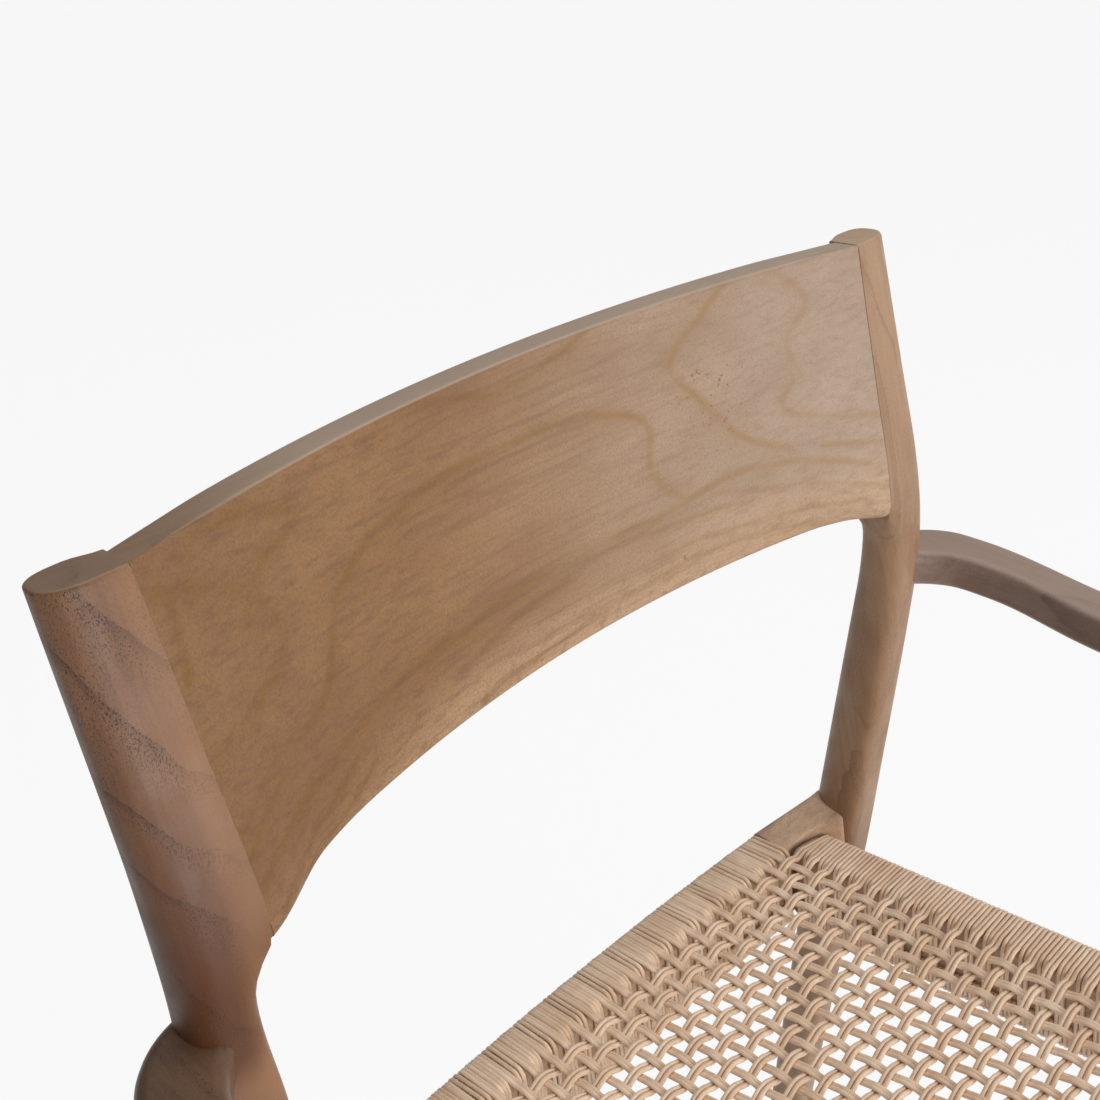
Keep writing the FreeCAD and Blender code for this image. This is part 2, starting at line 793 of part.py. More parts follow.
def main():
    """Makes every piece and writes the nodes."""
    os.makedirs("parts", exist_ok=True)
    post = make_post()
    panel = make_panel()
    leg, leg_tenon = make_front_leg()
    arm = arm_blank(arm_edge_round)
    arm = single(arm.cut(post))
    leg_tenon = leg_tenon.common(arm.fuse(leg))
    leg = leg.fuse(leg_tenon).removeSplitter()
    arm = single(arm.cut(leg_tenon))

    back_rail = make_back_rail([post, mirrored(post)])
    front_rail = make_front_rail([leg, mirrored(leg)])
    side_rail = make_side_rail(back_rail, front_rail)
    back_winding = make_back_winding(back_rail)
    front_winding = make_front_winding(front_rail)
    side_winding = make_side_winding(side_rail, [back_rail, front_rail, back_winding, front_winding])
    windings = [back_winding, front_winding, side_winding, mirrored(side_winding)]
    rails = [back_rail, front_rail, side_rail, mirrored(side_rail)]
    warp = make_warp(rails + windings)
    weft = make_weft(rails + windings)

    seam_dowels = panel_dowels()
    elbow_dowels = arm_dowels()
    rail_dowels = side_dowels()
    tacks = cord_tacks()
    rear_foot = (post_x(glide_height), post_y(glide_height))
    front_foot = (front_leg_x, front_leg_y)

    post = single(post.cut(seam_dowels + elbow_dowels + [back_rail, nail_hole_at(*rear_foot)]))
    arm = single(arm.cut(elbow_dowels))
    panel = single(panel.cut(seam_dowels + [mirrored(dowel) for dowel in seam_dowels]))
    leg = single(leg.cut([front_rail, nail_hole_at(*front_foot)]))
    side_rail = single(side_rail.cut(rail_dowels + tacks))
    both_rail_dowels = rail_dowels + [mirrored(dowel) for dowel in rail_dowels]
    back_rail = single(back_rail.cut(both_rail_dowels + tacks))
    front_rail = single(front_rail.cut(both_rail_dowels + tacks))
    back_winding = single(back_winding.cut(tacks))
    front_winding = single(front_winding.cut(tacks))
    side_winding = single(side_winding.cut(tacks))

    for name, shape in (("rear_leg", post), ("front_leg", leg), ("armrest", arm),
                        ("side_rail", side_rail), ("side_winding", side_winding)):
        save(name + "_left", shape)
        save(name + "_right", mirrored(shape))
    save("back_panel", panel)
    save("back_rail", back_rail)
    save("front_rail", front_rail)
    save("back_winding", back_winding)
    save("front_winding", front_winding)
    save("warp_cord", warp)
    save("weft_cord", weft)
    save("panel_dowels", group(seam_dowels + [mirrored(dowel) for dowel in seam_dowels]))
    save("armrest_dowels", group(elbow_dowels + [mirrored(dowel) for dowel in elbow_dowels]))
    save("side_rail_dowels", group(both_rail_dowels))
    save("cord_tacks", group(tacks))
    feet = {"rear_glide": rear_foot, "front_glide": front_foot}
    nails = []
    for name, (x, y) in feet.items():
        glide = single(glide_at(x, y).cut(nail_hole_at(x, y)))
        save(name + "_left", glide)
        save(name + "_right", mirrored(glide))
        nails += [nail_at(x, y), nail_at(-x, y)]
    save("glide_nails", group(nails))


main()
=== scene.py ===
import math

import bpy
import numpy as np
from mathutils import Matrix, Vector


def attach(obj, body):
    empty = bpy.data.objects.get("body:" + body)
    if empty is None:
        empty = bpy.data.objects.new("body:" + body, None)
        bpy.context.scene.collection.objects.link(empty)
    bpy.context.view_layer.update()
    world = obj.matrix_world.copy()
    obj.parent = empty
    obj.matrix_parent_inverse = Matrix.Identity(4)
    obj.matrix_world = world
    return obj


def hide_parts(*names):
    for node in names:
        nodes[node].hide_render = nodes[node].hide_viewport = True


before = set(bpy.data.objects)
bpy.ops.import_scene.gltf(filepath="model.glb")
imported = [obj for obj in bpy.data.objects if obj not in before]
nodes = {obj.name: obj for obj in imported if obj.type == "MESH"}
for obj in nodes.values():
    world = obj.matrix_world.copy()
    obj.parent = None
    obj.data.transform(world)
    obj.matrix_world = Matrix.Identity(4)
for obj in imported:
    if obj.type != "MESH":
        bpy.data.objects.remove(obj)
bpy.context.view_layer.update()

# Chair sizes in metres, with the same names as in the part's source
MM = 0.001
overall_height = 820 * MM
overall_depth = 520 * MM
seat_height = 434 * MM
back_height = overall_height - seat_height
foot_half_spacing = 250 * MM
top_half_spacing = 235.5 * MM
foot_size = 27 * MM
glide_height = 4 * MM
seat_joint_width = 36 * MM
seat_joint_depth = 37 * MM
arm_joint_width = 31 * MM
arm_joint_depth = 31.5 * MM
post_top_width = 37 * MM
post_top_depth = 23 * MM
panel_joint_depth = 31 * MM
post_neck_depth = 24.5 * MM
knee_place_share = 0.596
knee_reach_share = 0.15
leg_rake_share = 0.1495
back_lean_share = 0.21
section_round_share = 0.87
outer_back_round_share = 0.68
outer_front_round_share = 0.98
leg_corner_share = 0.5
leg_corner_fade = 60 * MM
panel_side_round_share = 0.66
panel_side_reach_share = 2.1
panel_side_blend_power = 2.4
panel_height_share = 0.3886
panel_thickness = 17 * MM
panel_bow = 42 * MM
panel_tilt_share = 0.08
seam_top_inset = 13.8 * MM
seam_low_inset = 23.6 * MM
panel_fillet_height = 34 * MM
panel_fillet_drop = 27 * MM
panel_top_slope_share = 0.19
seat_rake_share = 0.0524
rail_height = 54 * MM
rail_width = 26 * MM
rail_round = 6 * MM
back_rail_bow = 11 * MM
back_rail_reach = 38.7 * MM
back_rail_flare = 19 * MM
back_rail_end_width = 27.4 * MM
front_rail_reach = 13 * MM
side_rail_inset = 27.8 * MM
winding_end_gap = 2.5 * MM
rail_end_rise = 20 * MM
rail_sheer_power = 2.2
cord_diameter = 2.9 * MM
front_leg_offset = 1 * MM
front_leg_setback = 33 * MM
arm_thickness = 23 * MM
arm_height_share = 0.518
arm_root_setback = 16.5 * MM
arm_drop_share = 0.1
elbow_offset = 3.2 * MM
elbow_setback = 33 * MM
elbow_radius = 46 * MM
arm_root_width = 29.5 * MM
arm_mid_width = 31 * MM
arm_front_width = 28 * MM
arm_mid_offset = 28.9 * MM
arm_mid_place_share = 0.214
arm_front_offset = 1.5 * MM
elbow_turns = (105, 80, 60, 40, 20, 0)
arm_outer_shares = (0, 0.35, 0.7, 1)
arm_inner_shares = (0, 0.3, 0.65, 1)
arm_root_shares = ((0, -0.5), (0.125, 0), (0.5, 0.33), (0.78, 0.48), (1.0, 0.54))

# Photograph's camera
photo_size = 1100
photo_focal = 1405.2
sensor = 36
camera_near = 20 * MM
camera_place = Vector((-414, -239.9, 1031.5)) * MM
camera_forward = Vector((0.6133, 0.6441, -0.4571))
camera_right = Vector((0.694, -0.7157, -0.0775))


def mix(low, high, share):
    """A value part of the way between two others."""
    return low + (high - low) * share


def smooth(value):
    """A soft step from 0 to 1."""
    value = np.clip(value, 0, 1)
    return value * value * (3 - 2 * value)


def unit(vectors):
    """Vectors brought to length 1."""
    return vectors / np.linalg.norm(vectors, axis=1, keepdims=True)


def arc(x, y, radius, angles):
    """Points on a circle, at angles in degrees."""
    turn = np.radians(angles)
    return np.stack([x + radius * np.cos(turn), y + radius * np.sin(turn)], 1)


def quarter(angles):
    """Shares left and gone on a rounded edge, at angles of its quarter circle in degrees."""
    return [(1 - math.sin(angle), 1 - math.cos(angle)) for angle in np.radians(angles)]


# Post lines, as in the part's source

rear_foot_y = (overall_depth - foot_size) / 2 + leg_rake_share * glide_height
knee_height = seat_height + back_height * knee_place_share
knee_reach = back_height * knee_reach_share
panel_low = overall_height - back_height * panel_height_share
arm_root_height = seat_height + back_height * arm_height_share
seat_joint_height = seat_height - rail_height / 2


def post_x(height):
    """Distance of the post's middle from the chair's middle."""
    return mix(foot_half_spacing, top_half_spacing, height / overall_height)


def post_y(height):
    """Place of the post's middle from front to back."""
    start = knee_height - knee_reach
    end = knee_height + knee_reach
    rise = np.clip(height, start, end) - start
    turn = (leg_rake_share + back_lean_share) * rise ** 2 / (4 * knee_reach)
    beyond = np.maximum(height - end, 0) * (leg_rake_share + back_lean_share)
    return rear_foot_y - leg_rake_share * height + turn + beyond


seam_top_half_spacing = post_x(overall_height) - seam_top_inset
seam_low_half_spacing = post_x(panel_low) - seam_low_inset


def seam_x(height):
    """Distance of the panel's end seam from the chair's middle."""
    share = (height - panel_low) / (overall_height - panel_low)
    return mix(seam_low_half_spacing, seam_top_half_spacing, share)


# Meshes

def linked(name, data):
    """A new object in the scene."""
    piece = bpy.data.objects.new(name, data)
    bpy.context.scene.collection.objects.link(piece)
    return piece


def make_mesh(name, points, faces, smooth_angle=40, uv=None):
    """A shaded mesh object."""
    mesh = bpy.data.meshes.new(name)
    mesh.from_pydata([tuple(p) for p in points], [], faces)
    mesh.validate()
    if uv is not None:
        loops = np.zeros(len(mesh.loops), np.int32)
        mesh.loops.foreach_get("vertex_index", loops)
        mesh.uv_layers.new(name="lay").data.foreach_set("uv", uv.astype(np.float32)[loops].ravel())
    mesh.shade_smooth()
    mesh.set_sharp_from_angle(angle=math.radians(smooth_angle))
    return linked(name, mesh)


def closed_faces(rows, columns, offset=0):
    """Quads between neighbouring rings of points, and a cap on the first and the last ring."""
    faces = []
    for i in range(rows - 1):
        for j in range(columns):
            k = (j + 1) % columns
            a, b = offset + i * columns, offset + (i + 1) * columns
            faces.append((a + j, a + k, b + k, b + j))
    last = offset + (rows - 1) * columns
    faces.append(tuple(range(offset, offset + columns))[::-1])
    faces.append(tuple(range(last, last + columns)))
    return faces


def skin(name, rings):
    """A closed mesh through a stack of rings."""
    return make_mesh(name, rings.reshape(-1, 3), closed_faces(*rings.shape[:2]))


def mirror_rings(rings):
    """The same rings on the other side of the chair."""
    return rings[:, ::-1] * (-1, 1, 1)


def place(piece, material, slot_name, *stands_for):
    """Gives a piece its material and its body and hides the nodes it stands for; slot_name is not used."""
    piece.data.materials.append(material)
    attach(piece, "root")
    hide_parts(*stands_for)


# Rear legs and posts

post_ring_points = 72
post_stations = 130
post_top_round = 1.6 * MM
foot_round_swings = (0, 30, 60)
top_round_swings = (20, 40, 60, 75, 90)
inner_front_turn = 225
right_haunch, left_haunch = 6 * MM, 0.5 * MM
right_low_end, left_low_end = -5.6 * MM, -1 * MM
haunch_rise = 72 * MM
haunch_low = 460 * MM
haunch_fade = 80 * MM
haunch_focus = 0.8
panel_back_step = 3.2 * MM
panel_fillet_power = 1.5
seam_gap = 0.12 * MM
table_reach = 22 * MM
post_widths = ((glide_height, foot_size), (seat_joint_height, seat_joint_width),
               (arm_root_height, arm_joint_width), (overall_height, post_top_width))
post_depths = ((glide_height, foot_size), (seat_joint_height, seat_joint_depth),
               (arm_root_height, arm_joint_depth), (panel_low, panel_joint_depth),
               (knee_height + knee_reach, post_neck_depth), (overall_height, post_top_depth))


def soft_table(height, table):
    """A size read off a table of heights, with its corners eased."""
    heights, sizes = zip(*table)
    steps = np.linspace(-table_reach, table_reach, 9)
    return np.mean([np.interp(height + step, heights, sizes) for step in steps])


def inner_side(height, low_end):
    """The inner half of a post's section: how far it reaches and how round it is."""
    x = post_x(height)
    joined = (x - seam_x(height)) * panel_side_reach_share
    share = (height - low_end + panel_fillet_drop) / panel_fillet_height
    blend = min(max(share, 0), 1) ** panel_side_blend_power
    squared = min(max((arm_root_height - height) / leg_corner_fade, 0), 1)
    plain_round = mix(section_round_share, leg_corner_share, squared)
    return (mix(soft_table(height, post_widths) / 2, joined, blend),
            mix(plain_round, panel_side_round_share, blend))


def seam_front(height, low_end):
    """Place from front to back of a post's front where the panel's seam meets it."""
    inner, inner_round = inner_side(height, low_end)
    across = min((post_x(height) - seam_x(height)) / inner, 1) ** (1 / inner_round)
    along = math.sqrt(1 - across ** 2) ** inner_round
    return post_y(height) - soft_table(height, post_depths) / 2 * along


def post_ring(height, low_end, haunch):
    """One section of the left post, above or below the low end of the panel's seam."""
    half_width = soft_table(height, post_widths) / 2
    half_depth = soft_table(height, post_depths) / 2
    x, y, seam = post_x(height), post_y(height), seam_x(height)
    inner, inner_round = inner_side(height, low_end)
    upper = smooth((height - arm_root_height) / leg_corner_fade)
    back_round = mix(section_round_share, outer_back_round_share, upper)
    front_round = mix(section_round_share, outer_front_round_share, upper)
    turn = np.linspace(0, 2 * math.pi, post_ring_points, endpoint=False)
    across, along = np.cos(turn), np.sin(turn)
    reach = np.where(across < 0, inner, half_width)
    power = np.where((across < 0) & (along < 0), inner_round, section_round_share)
    power = np.where((across > 0) & (along > 0), back_round, power)
    power = np.where((across > 0) & (along <= 0), front_round, power)
    ring = np.stack([x + reach * np.sign(across) * np.abs(across) ** power,
                     y + half_depth * np.sign(along) * np.abs(along) ** power,
                     np.full(post_ring_points, height)], 1)
    below_arm = smooth((arm_root_height - height) / haunch_rise)
    above_seat = smooth((height - haunch_low) / haunch_fade)
    in_front = smooth(0.5 + haunch_focus * np.cos(turn - math.radians(inner_front_turn)))
    swell = haunch * below_arm * above_seat * in_front
    ring[:, 0] += swell * across
    ring[:, 1] += swell * along
    under = min(max((height - low_end + panel_fillet_drop) / panel_fillet_drop, 0), 1)
    clamp = x - mix(half_width, x - seam, under ** panel_fillet_power)
    ring[:, 0] = np.maximum(ring[:, 0], np.where(height < low_end, clamp - swell, seam))
    near_seam = smooth(1 - (ring[:, 0] - seam) / (x - seam))
    faded = smooth((height - low_end) / panel_fillet_height)
    ring[:, 1] -= np.where(along > 0, panel_back_step, 0) * near_seam * faded
    return ring


def shrunk(ring, inset, height, seam=None):
    """A ring drawn in towards its middle, but not away from the panel's seam."""
    away = ring[:, :2] - ring[:, :2].mean(0)
    drawn = np.insert(ring[:, :2] - unit(away) * inset, 2, height, axis=1)
    if seam is not None:
        drawn[:, 0] = np.where(ring[:, 0] <= seam + seam_gap, ring[:, 0], drawn[:, 0])
    return drawn


def make_post(low_end, haunch):
    """Rings of the left rear leg and back post, soft at both ends."""
    r = post_top_round
    foot = post_ring(glide_height, low_end, haunch)
    top = post_ring(overall_height, low_end, haunch)
    rings = []
    for left, gone in quarter(foot_round_swings):
        rings.append(shrunk(foot, r * left, glide_height + r * gone))
    for height in np.linspace(glide_height + r, overall_height - r, post_stations):
        rings.append(post_ring(height, low_end, haunch))
    for left, gone in quarter(top_round_swings):
        rings.append(shrunk(top, r * gone, overall_height - r * left, seam_x(overall_height)))
    return np.array(rings)


# Back panel

panel_edge = 2 * MM
panel_bevel_height = 34 * MM
panel_bevel_depth = 6.5 * MM
panel_low_round = 4 * MM
right_low_lift, left_low_lift = 2.5 * MM, 5 * MM
right_dip, left_dip = 4.4 * MM, -1 * MM
right_dip_reach, left_dip_reach = 90 * MM, 32 * MM
low_part_start = 0.45
panel_end_reach = 45 * MM
panel_end_share = 0.97
seam_rebate = 0.3 * MM
panel_stations = 300
panel_face_points = 120
edge_points = 6
first_turn = 0.36
turn_tries = 20


def panel_profile():
    """Outline of the panel at its middle as distances down and back from its top front edge."""
    height = (overall_height - panel_low) / math.cos(math.atan(back_lean_share))
    start = height - panel_bevel_height
    t, e = panel_thickness, panel_edge
    low, soft = panel_bevel_depth, panel_low_round
    edge = quarter(np.linspace(0, 90, edge_points))
    outline = [(e * left, e * gone) for left, gone in edge]
    outline += [(0, mix(e, t - e, share)) for share in (0.33, 0.67)]
    outline += [(e * gone, t - e * left) for left, gone in edge]
    outline += [(mix(e, height - e, share), t) for share in np.linspace(0, 1, 13)[1:-1]]
    outline += [(height - e * left, t - e * gone) for left, gone in edge]
    outline += [(height, mix(t - e, low + soft, share)) for share in (0.33, 0.67)]
    outline += [(height - soft * gone, low + soft * left) for left, gone in edge]
    outline += [(mix(height - soft, start, share), low * (1 - share) ** 2)
                for share in np.linspace(0, 1, 24)[1:]]
    outline += [(mix(start, e, share), 0) for share in np.linspace(0, 1, panel_face_points)[1:-1]]
    outline = np.array(outline)
    near_top = outline[:, 0] < e * 1.01
    outline[:, 0] -= np.where(near_top, outline[:, 1] * panel_top_slope_share, 0)
    return outline


def near_seams(x, reach):
    """A share that is 1 at the panel's two seams and fades away from them over a reach."""
    return smooth((np.abs(x) - seam_low_half_spacing + reach) / reach)


def lowered(rings, along):
    """Panel rings whose low edge runs into the posts, a little unlike at the two ends."""
    near_low = smooth((along / along.max() - low_part_start) / (1 - low_part_start))
    x = rings[..., 0]
    to_left = smooth(0.5 + x / (2 * seam_low_half_spacing))
    lift = mix(right_low_lift, left_low_lift, to_left)
    dip = np.where(x < 0, right_dip, left_dip)
    reach = np.where(x < 0, right_dip_reach, left_dip_reach)
    dipped = rings.copy()
    dipped[..., 2] += near_low * (lift - (lift + dip) * near_seams(x, reach) ** 2)
    return dipped


def flush(rings, profile):
    """Brings the panel's front level with the posts' fronts at its two seams."""
    right_front, left_front = [np.array([seam_front(z, panel_low + low_end) for z in rings[-1, :, 2]])
                               for low_end in (right_low_end, left_low_end)]
    on_front = np.clip((panel_thickness - profile[:, 1]) / (panel_thickness - panel_bevel_depth), 0, 1)
    x = rings[..., 0]
    gap = np.where(x < 0, right_front, left_front) + seam_rebate - rings[-1, :, 1]
    fitted = rings.copy()
    fitted[..., 1] += gap * on_front * near_seams(x, panel_end_reach)
    return fitted


def make_panel():
    """Rings of the curved panel, one after another from the right seam to the left."""
    half = seam_top_half_spacing
    radius = (half ** 2 + panel_bow ** 2) / (2 * panel_bow)
    tilt = math.atan(panel_tilt_share)
    lean = math.atan(back_lean_share)
    front = post_y(overall_height) - post_top_depth / 2
    top = np.array([0, front + panel_bow, overall_height - panel_bow * panel_tilt_share])
    axis = np.array([0, math.sin(tilt), math.cos(tilt)])
    outward = np.array([0, math.cos(tilt), -math.sin(tilt)])
    down = np.array([0, -math.sin(lean), -math.cos(lean)])
    back = np.array([0, math.cos(lean), -math.sin(lean)])
    pivot = top - outward * radius
    profile = panel_profile()
    points = top + profile[:, :1] * down + profile[:, 1:] * back
    level, reach = (points - pivot) @ axis, (points - pivot) @ outward

    def at(turn):
        out, side = reach * np.cos(turn), reach * np.sin(turn)
        return pivot + np.outer(level, axis) + np.outer(out, outward) + np.outer(side, (1, 0, 0))

    limit = np.full(len(profile), first_turn)
    for _ in range(turn_tries):
        place_now = at(limit)
        limit = limit * (seam_x(place_now[:, 2]) - seam_gap) / place_now[:, 0]
    rings = np.array([at(limit * share) for share in np.linspace(-1, 1, panel_stations + 1)])
    rings = lowered(flush(rings, profile), profile[:, 0])
    ends = [mix(ring.mean(0), ring, panel_end_share) for ring in (rings[0], rings[-1])]
    return np.stack([ends[0], *rings, ends[1]])


# Armrests

arm_soft = 6.5 * MM
arm_edge_points = 7
arm_tip_points = 17
front_leg_x = foot_half_spacing + front_leg_offset
front_leg_y = front_leg_setback - overall_depth / 2
arm_root_x = post_x(arm_root_height)
arm_root_y = post_y(arm_root_height) - arm_root_setback
elbow_x = arm_root_x + elbow_offset
elbow_y = post_y(arm_root_height) - elbow_setback
arm_mid_x = arm_root_x + arm_mid_offset
arm_mid_y = mix(elbow_y, -overall_depth / 2, arm_mid_place_share)
arm_front_x = front_leg_x + arm_front_offset


def through(points, steps=14):
    """Points on a smooth line through a few points, however far apart they are."""
    points = np.array(points, float)
    chord = np.diff(points, axis=0)
    length = np.linalg.norm(chord, axis=1)[:, None]
    slope = chord / length
    inner = (slope[:-1] * length[1:] + slope[1:] * length[:-1]) / (length[:-1] + length[1:])
    tangent = np.vstack([slope[:1], inner, slope[-1:]])
    line = []
    for k in range(len(chord)):
        leave, arrive = length[k] * tangent[k], length[k] * tangent[k + 1]
        for t in np.linspace(0, 1, steps, endpoint=False):
            straight = mix(points[k], points[k + 1], smooth(t))
            line.append(straight + t * (1 - t) ** 2 * leave + t * t * (t - 1) * arrive)
    line.append(points[-1])
    return np.array(line)


def arm_outline():
    """The armrest's plan, from the post round its tip and back to the post."""
    half_front, half_mid = arm_front_width / 2, arm_mid_width / 2
    slope_length = math.hypot(1, arm_drop_share)
    tip_y = arm_root_y - (arm_root_y + overall_depth / 2) * slope_length + half_front
    root = elbow_x + elbow_radius - arm_root_width
    outer = list(arc(elbow_x, elbow_y, elbow_radius, elbow_turns))
    middle, end = np.array([arm_mid_x, arm_mid_y]), np.array([arm_front_x, tip_y])
    to_mid_edge, to_end_edge = np.array([half_mid, 0]), np.array([half_front, 0])
    outer += [mix(middle + to_mid_edge, end + to_end_edge, share) for share in arm_outer_shares]
    tip = arc(arm_front_x, tip_y, half_front, np.linspace(0, -180, arm_tip_points + 2)[1:-1])
    inner = [mix(end - to_end_edge, middle - to_mid_edge, share) for share in arm_inner_shares]
    inner += [(root - arm_root_width * across, elbow_y + elbow_radius * along)
              for across, along in arm_root_shares]
    return np.vstack([through(outer), tip, through(inner)])


def drawn_in(outline, inset):
    """An outline moved inwards along its normals; its two ends meet inside the post."""
    tangent = unit(np.gradient(outline, axis=0))
    inward = np.stack([tangent[:, 1], -tangent[:, 0]], 1)
    return outline + inward * inset


def make_arm():
    """Rings of the left armrest from its underside to its top, level and then sloped."""
    outline = arm_outline()
    edge = quarter(np.linspace(0, 90, arm_edge_points))
    layers = [(arm_soft * left, -arm_thickness + arm_soft * gone) for left, gone in edge]
    layers += [(0, -arm_thickness / 2)]
    layers += [(arm_soft * gone, -arm_soft * left) for left, gone in edge]
    rings = np.array([np.insert(drawn_in(outline, inset), 2, z, axis=1) for inset, z in layers])
    y, z = rings[..., 1] - arm_root_y, rings[..., 2].copy()
    angle = math.atan(arm_drop_share)
    rings[..., 1] = arm_root_y + y * math.cos(angle) - z * math.sin(angle)
    rings[..., 2] = arm_root_height + y * math.sin(angle) + z * math.cos(angle)
    return rings


# Seat frame and cord, made level and then tipped back

seat_front = front_leg_y - front_rail_reach
seat_back = post_y(seat_height) + back_rail_reach
side_rail_outer = post_x(seat_height) - side_rail_inset
winding_half_length = side_rail_outer - rail_width - winding_end_gap
wood_top = -cord_diameter
wood_low = wood_top - rail_height
bare_gap = 0.3 * MM
bare_reach = 3.4 * MM
bare_rise = 4.1 * MM
bare_round = 4 * MM
bare_start_drop = 4 * MM
bare_end_drop = 7 * MM
front_sheer = 18 * MM
rail_sunk = 9 * MM


def rail_bow(x):
    """How far the back rail's line lies forward of its middle."""
    return back_rail_bow * (x / foot_half_spacing) ** 2


def tipped(points):
    """Moves points from the seat's level frame to their place."""
    angle = math.atan(seat_rake_share)
    x, y, z = points[..., 0], points[..., 1], points[..., 2]
    return np.stack([x, y * math.cos(angle) + z * math.sin(angle),
                     seat_height - y * math.sin(angle) + z * math.cos(angle)], -1)


def rounded_box(front, back, low, high, soft, steps=5):
    """A rounded section of a rail as y and z, starting on its inner face and going under it."""
    corners = ((front + soft, low + soft, 180), (back - soft, low + soft, 270),
               (back - soft, high - soft, 0), (front + soft, high - soft, 90))
    return np.vstack([arc(y, z, soft, np.linspace(start, start + 90, steps)) for y, z, start in corners])


def make_back_rail():
    """Rings of the back rail, whose bare ends stand level with the cord, turn forward and rise."""
    leg_face = post_x(seat_height) - seat_joint_width / 2
    start = winding_half_length
    rise_length = leg_face - start
    wound_half = np.linspace(0, start, 10)
    bare_half = np.linspace(start + bare_gap, leg_face + rail_sunk, 30)
    half = np.concatenate([wound_half, bare_half])
    stations = np.concatenate([-half[:0:-1], half])
    rings = []
    for x in stations:
        reach = abs(x)
        back = seat_back - rail_bow(min(reach, start))
        if reach <= start:
            section = rounded_box(back - rail_width, back, wood_low, wood_top, rail_round)
        else:
            share = min((reach - start) / rise_length, 1)
            edge = back + bare_reach - back_rail_flare * share
            narrow = back + bare_reach - back_rail_end_width - front_sheer * share ** rail_sheer_power
            high = wood_top + mix(bare_rise, rail_end_rise, share)
            section = rounded_box(narrow, edge, wood_low, high, bare_round)
            drop = mix(bare_start_drop, bare_end_drop, share)
            upper = (section[:, 1] - wood_low) / (high - wood_low)
            section[:, 1] -= drop * upper ** 4 * (edge - section[:, 0]) / (edge - narrow)
        rings.append([(x, y, z) for y, z in section])
    return tipped(np.array(rings))


# Woven seat

warp_pitch = 12.646 * MM
warp_start = -2.06 * MM
warp_numbers = range(-14, 15)
weft_pitch = 11.607 * MM
weft_start = 42.54 * MM
weft_numbers = range(-12, 22)
seat_dish = 15.5 * MM
cord_radius = 1.43 * MM
strand_offset = 1.42 * MM
warp_strand_offset = 1.05 * MM
warp_flat_share = 0.84
warp_broad_share = 1.22
cord_bend = 3.5 * MM
back_cord_rise = 1.5 * MM
back_cord_reach = 1 * MM
back_cord_fade = 30 * MM
warp_wave = 0.9 * MM
weft_wave = 1.9 * MM
weft_wave_power = 0.85
weft_fade_share = 0.8
weft_crowding = 5 * MM
weft_shift_most = 6 * MM
crossing_shift = 7
samples_per_crossing = 6
cord_start_share = 0.3
cord_bend_steps = 6
tube_sides = 8
back_turn_counts = (2, 3)
side_turn_counts = (2, 2)
winding_end_room = 1 * MM
turn_size_least, turn_size_range = 0.88, 0.16
turn_waver = 0.12 * MM
turn_tilt = 0.7 * MM
turn_sway = 1.1 * MM
turn_sway_lengths = (23 * MM, 61 * MM)
tangent_x = side_rail_outer - rail_width + cord_bend
tangent_front = seat_front + rail_width - cord_bend
tangent_back = seat_back - rail_width + cord_bend
tangent_middle = (tangent_front + tangent_back) / 2
tangent_reach = (tangent_back - tangent_front) / 2
rng = np.random.default_rng(11)


def cord_level(x, y):
    """Height of a cord's middle on the sagging seat, without its weave."""
    across = np.clip(x / tangent_x, -1, 1)
    along = np.clip((y - tangent_middle) / tangent_reach, -1, 1)
    return wood_top + cord_radius - seat_dish * (1 - across ** 2) * (1 - along ** 2)


def tubes(name, paths, reference, broad=1.0, flat=1.0):
    """One mesh of round or flattened cords along many paths."""
    points, faces, uv = [], [], []
    offset = 0
    turn = np.linspace(0, 2 * math.pi, tube_sides, endpoint=False)
    wide, high = broad * np.cos(turn)[:, None], flat * np.sin(turn)[:, None]
    for path in paths:
        tangent = unit(np.gradient(path, axis=0))
        first = unit(reference - tangent * (tangent @ reference)[:, None])
        second = np.cross(tangent, first)
        ring = path[:, None] + cord_radius * (wide * first[:, None] + high * second[:, None])
        length = np.concatenate([[0], np.cumsum(np.linalg.norm(np.diff(path, axis=0), axis=1))])
        points.append(ring.reshape(-1, 3))
        around = np.tile(turn / (2 * math.pi), len(path))
        uv.append(np.stack([np.repeat(length, tube_sides), around], 1))
        faces += closed_faces(len(path), tube_sides, offset)
        offset += len(path) * tube_sides
    return make_mesh(name, np.concatenate(points), faces, 180, np.concatenate(uv))


def cord_loop(front, back, radius, rise):
    """The line of a cord once round a rail, as y and z, starting on the rail's inner face."""
    return rounded_box(front - radius, back + radius, wood_low - radius, wood_top + rise + radius,
                       cord_bend + radius, cord_bend_steps)


def over_rail(front, back, rise=0.0):
    """A cord's line over a rail: from its inner face, under it, up its outer face and over its top."""
    loop = cord_loop(front, back, cord_radius, rise)
    start = (front - cord_radius, wood_low + rail_height * cord_start_share)
    return np.vstack([start, loop[:3 * cord_bend_steps]])


def across_seat(first, along, heights, last):
    """A cord's line over one rail, across the seat and over the other rail."""
    return np.vstack([first, np.stack([along, heights], 1), last[::-1] * (-1, 1)])


def even_steps(low, high, step):
    """Evenly spaced values between two ends."""
    return np.linspace(low, high, round(abs(high - low) / step) + 1)


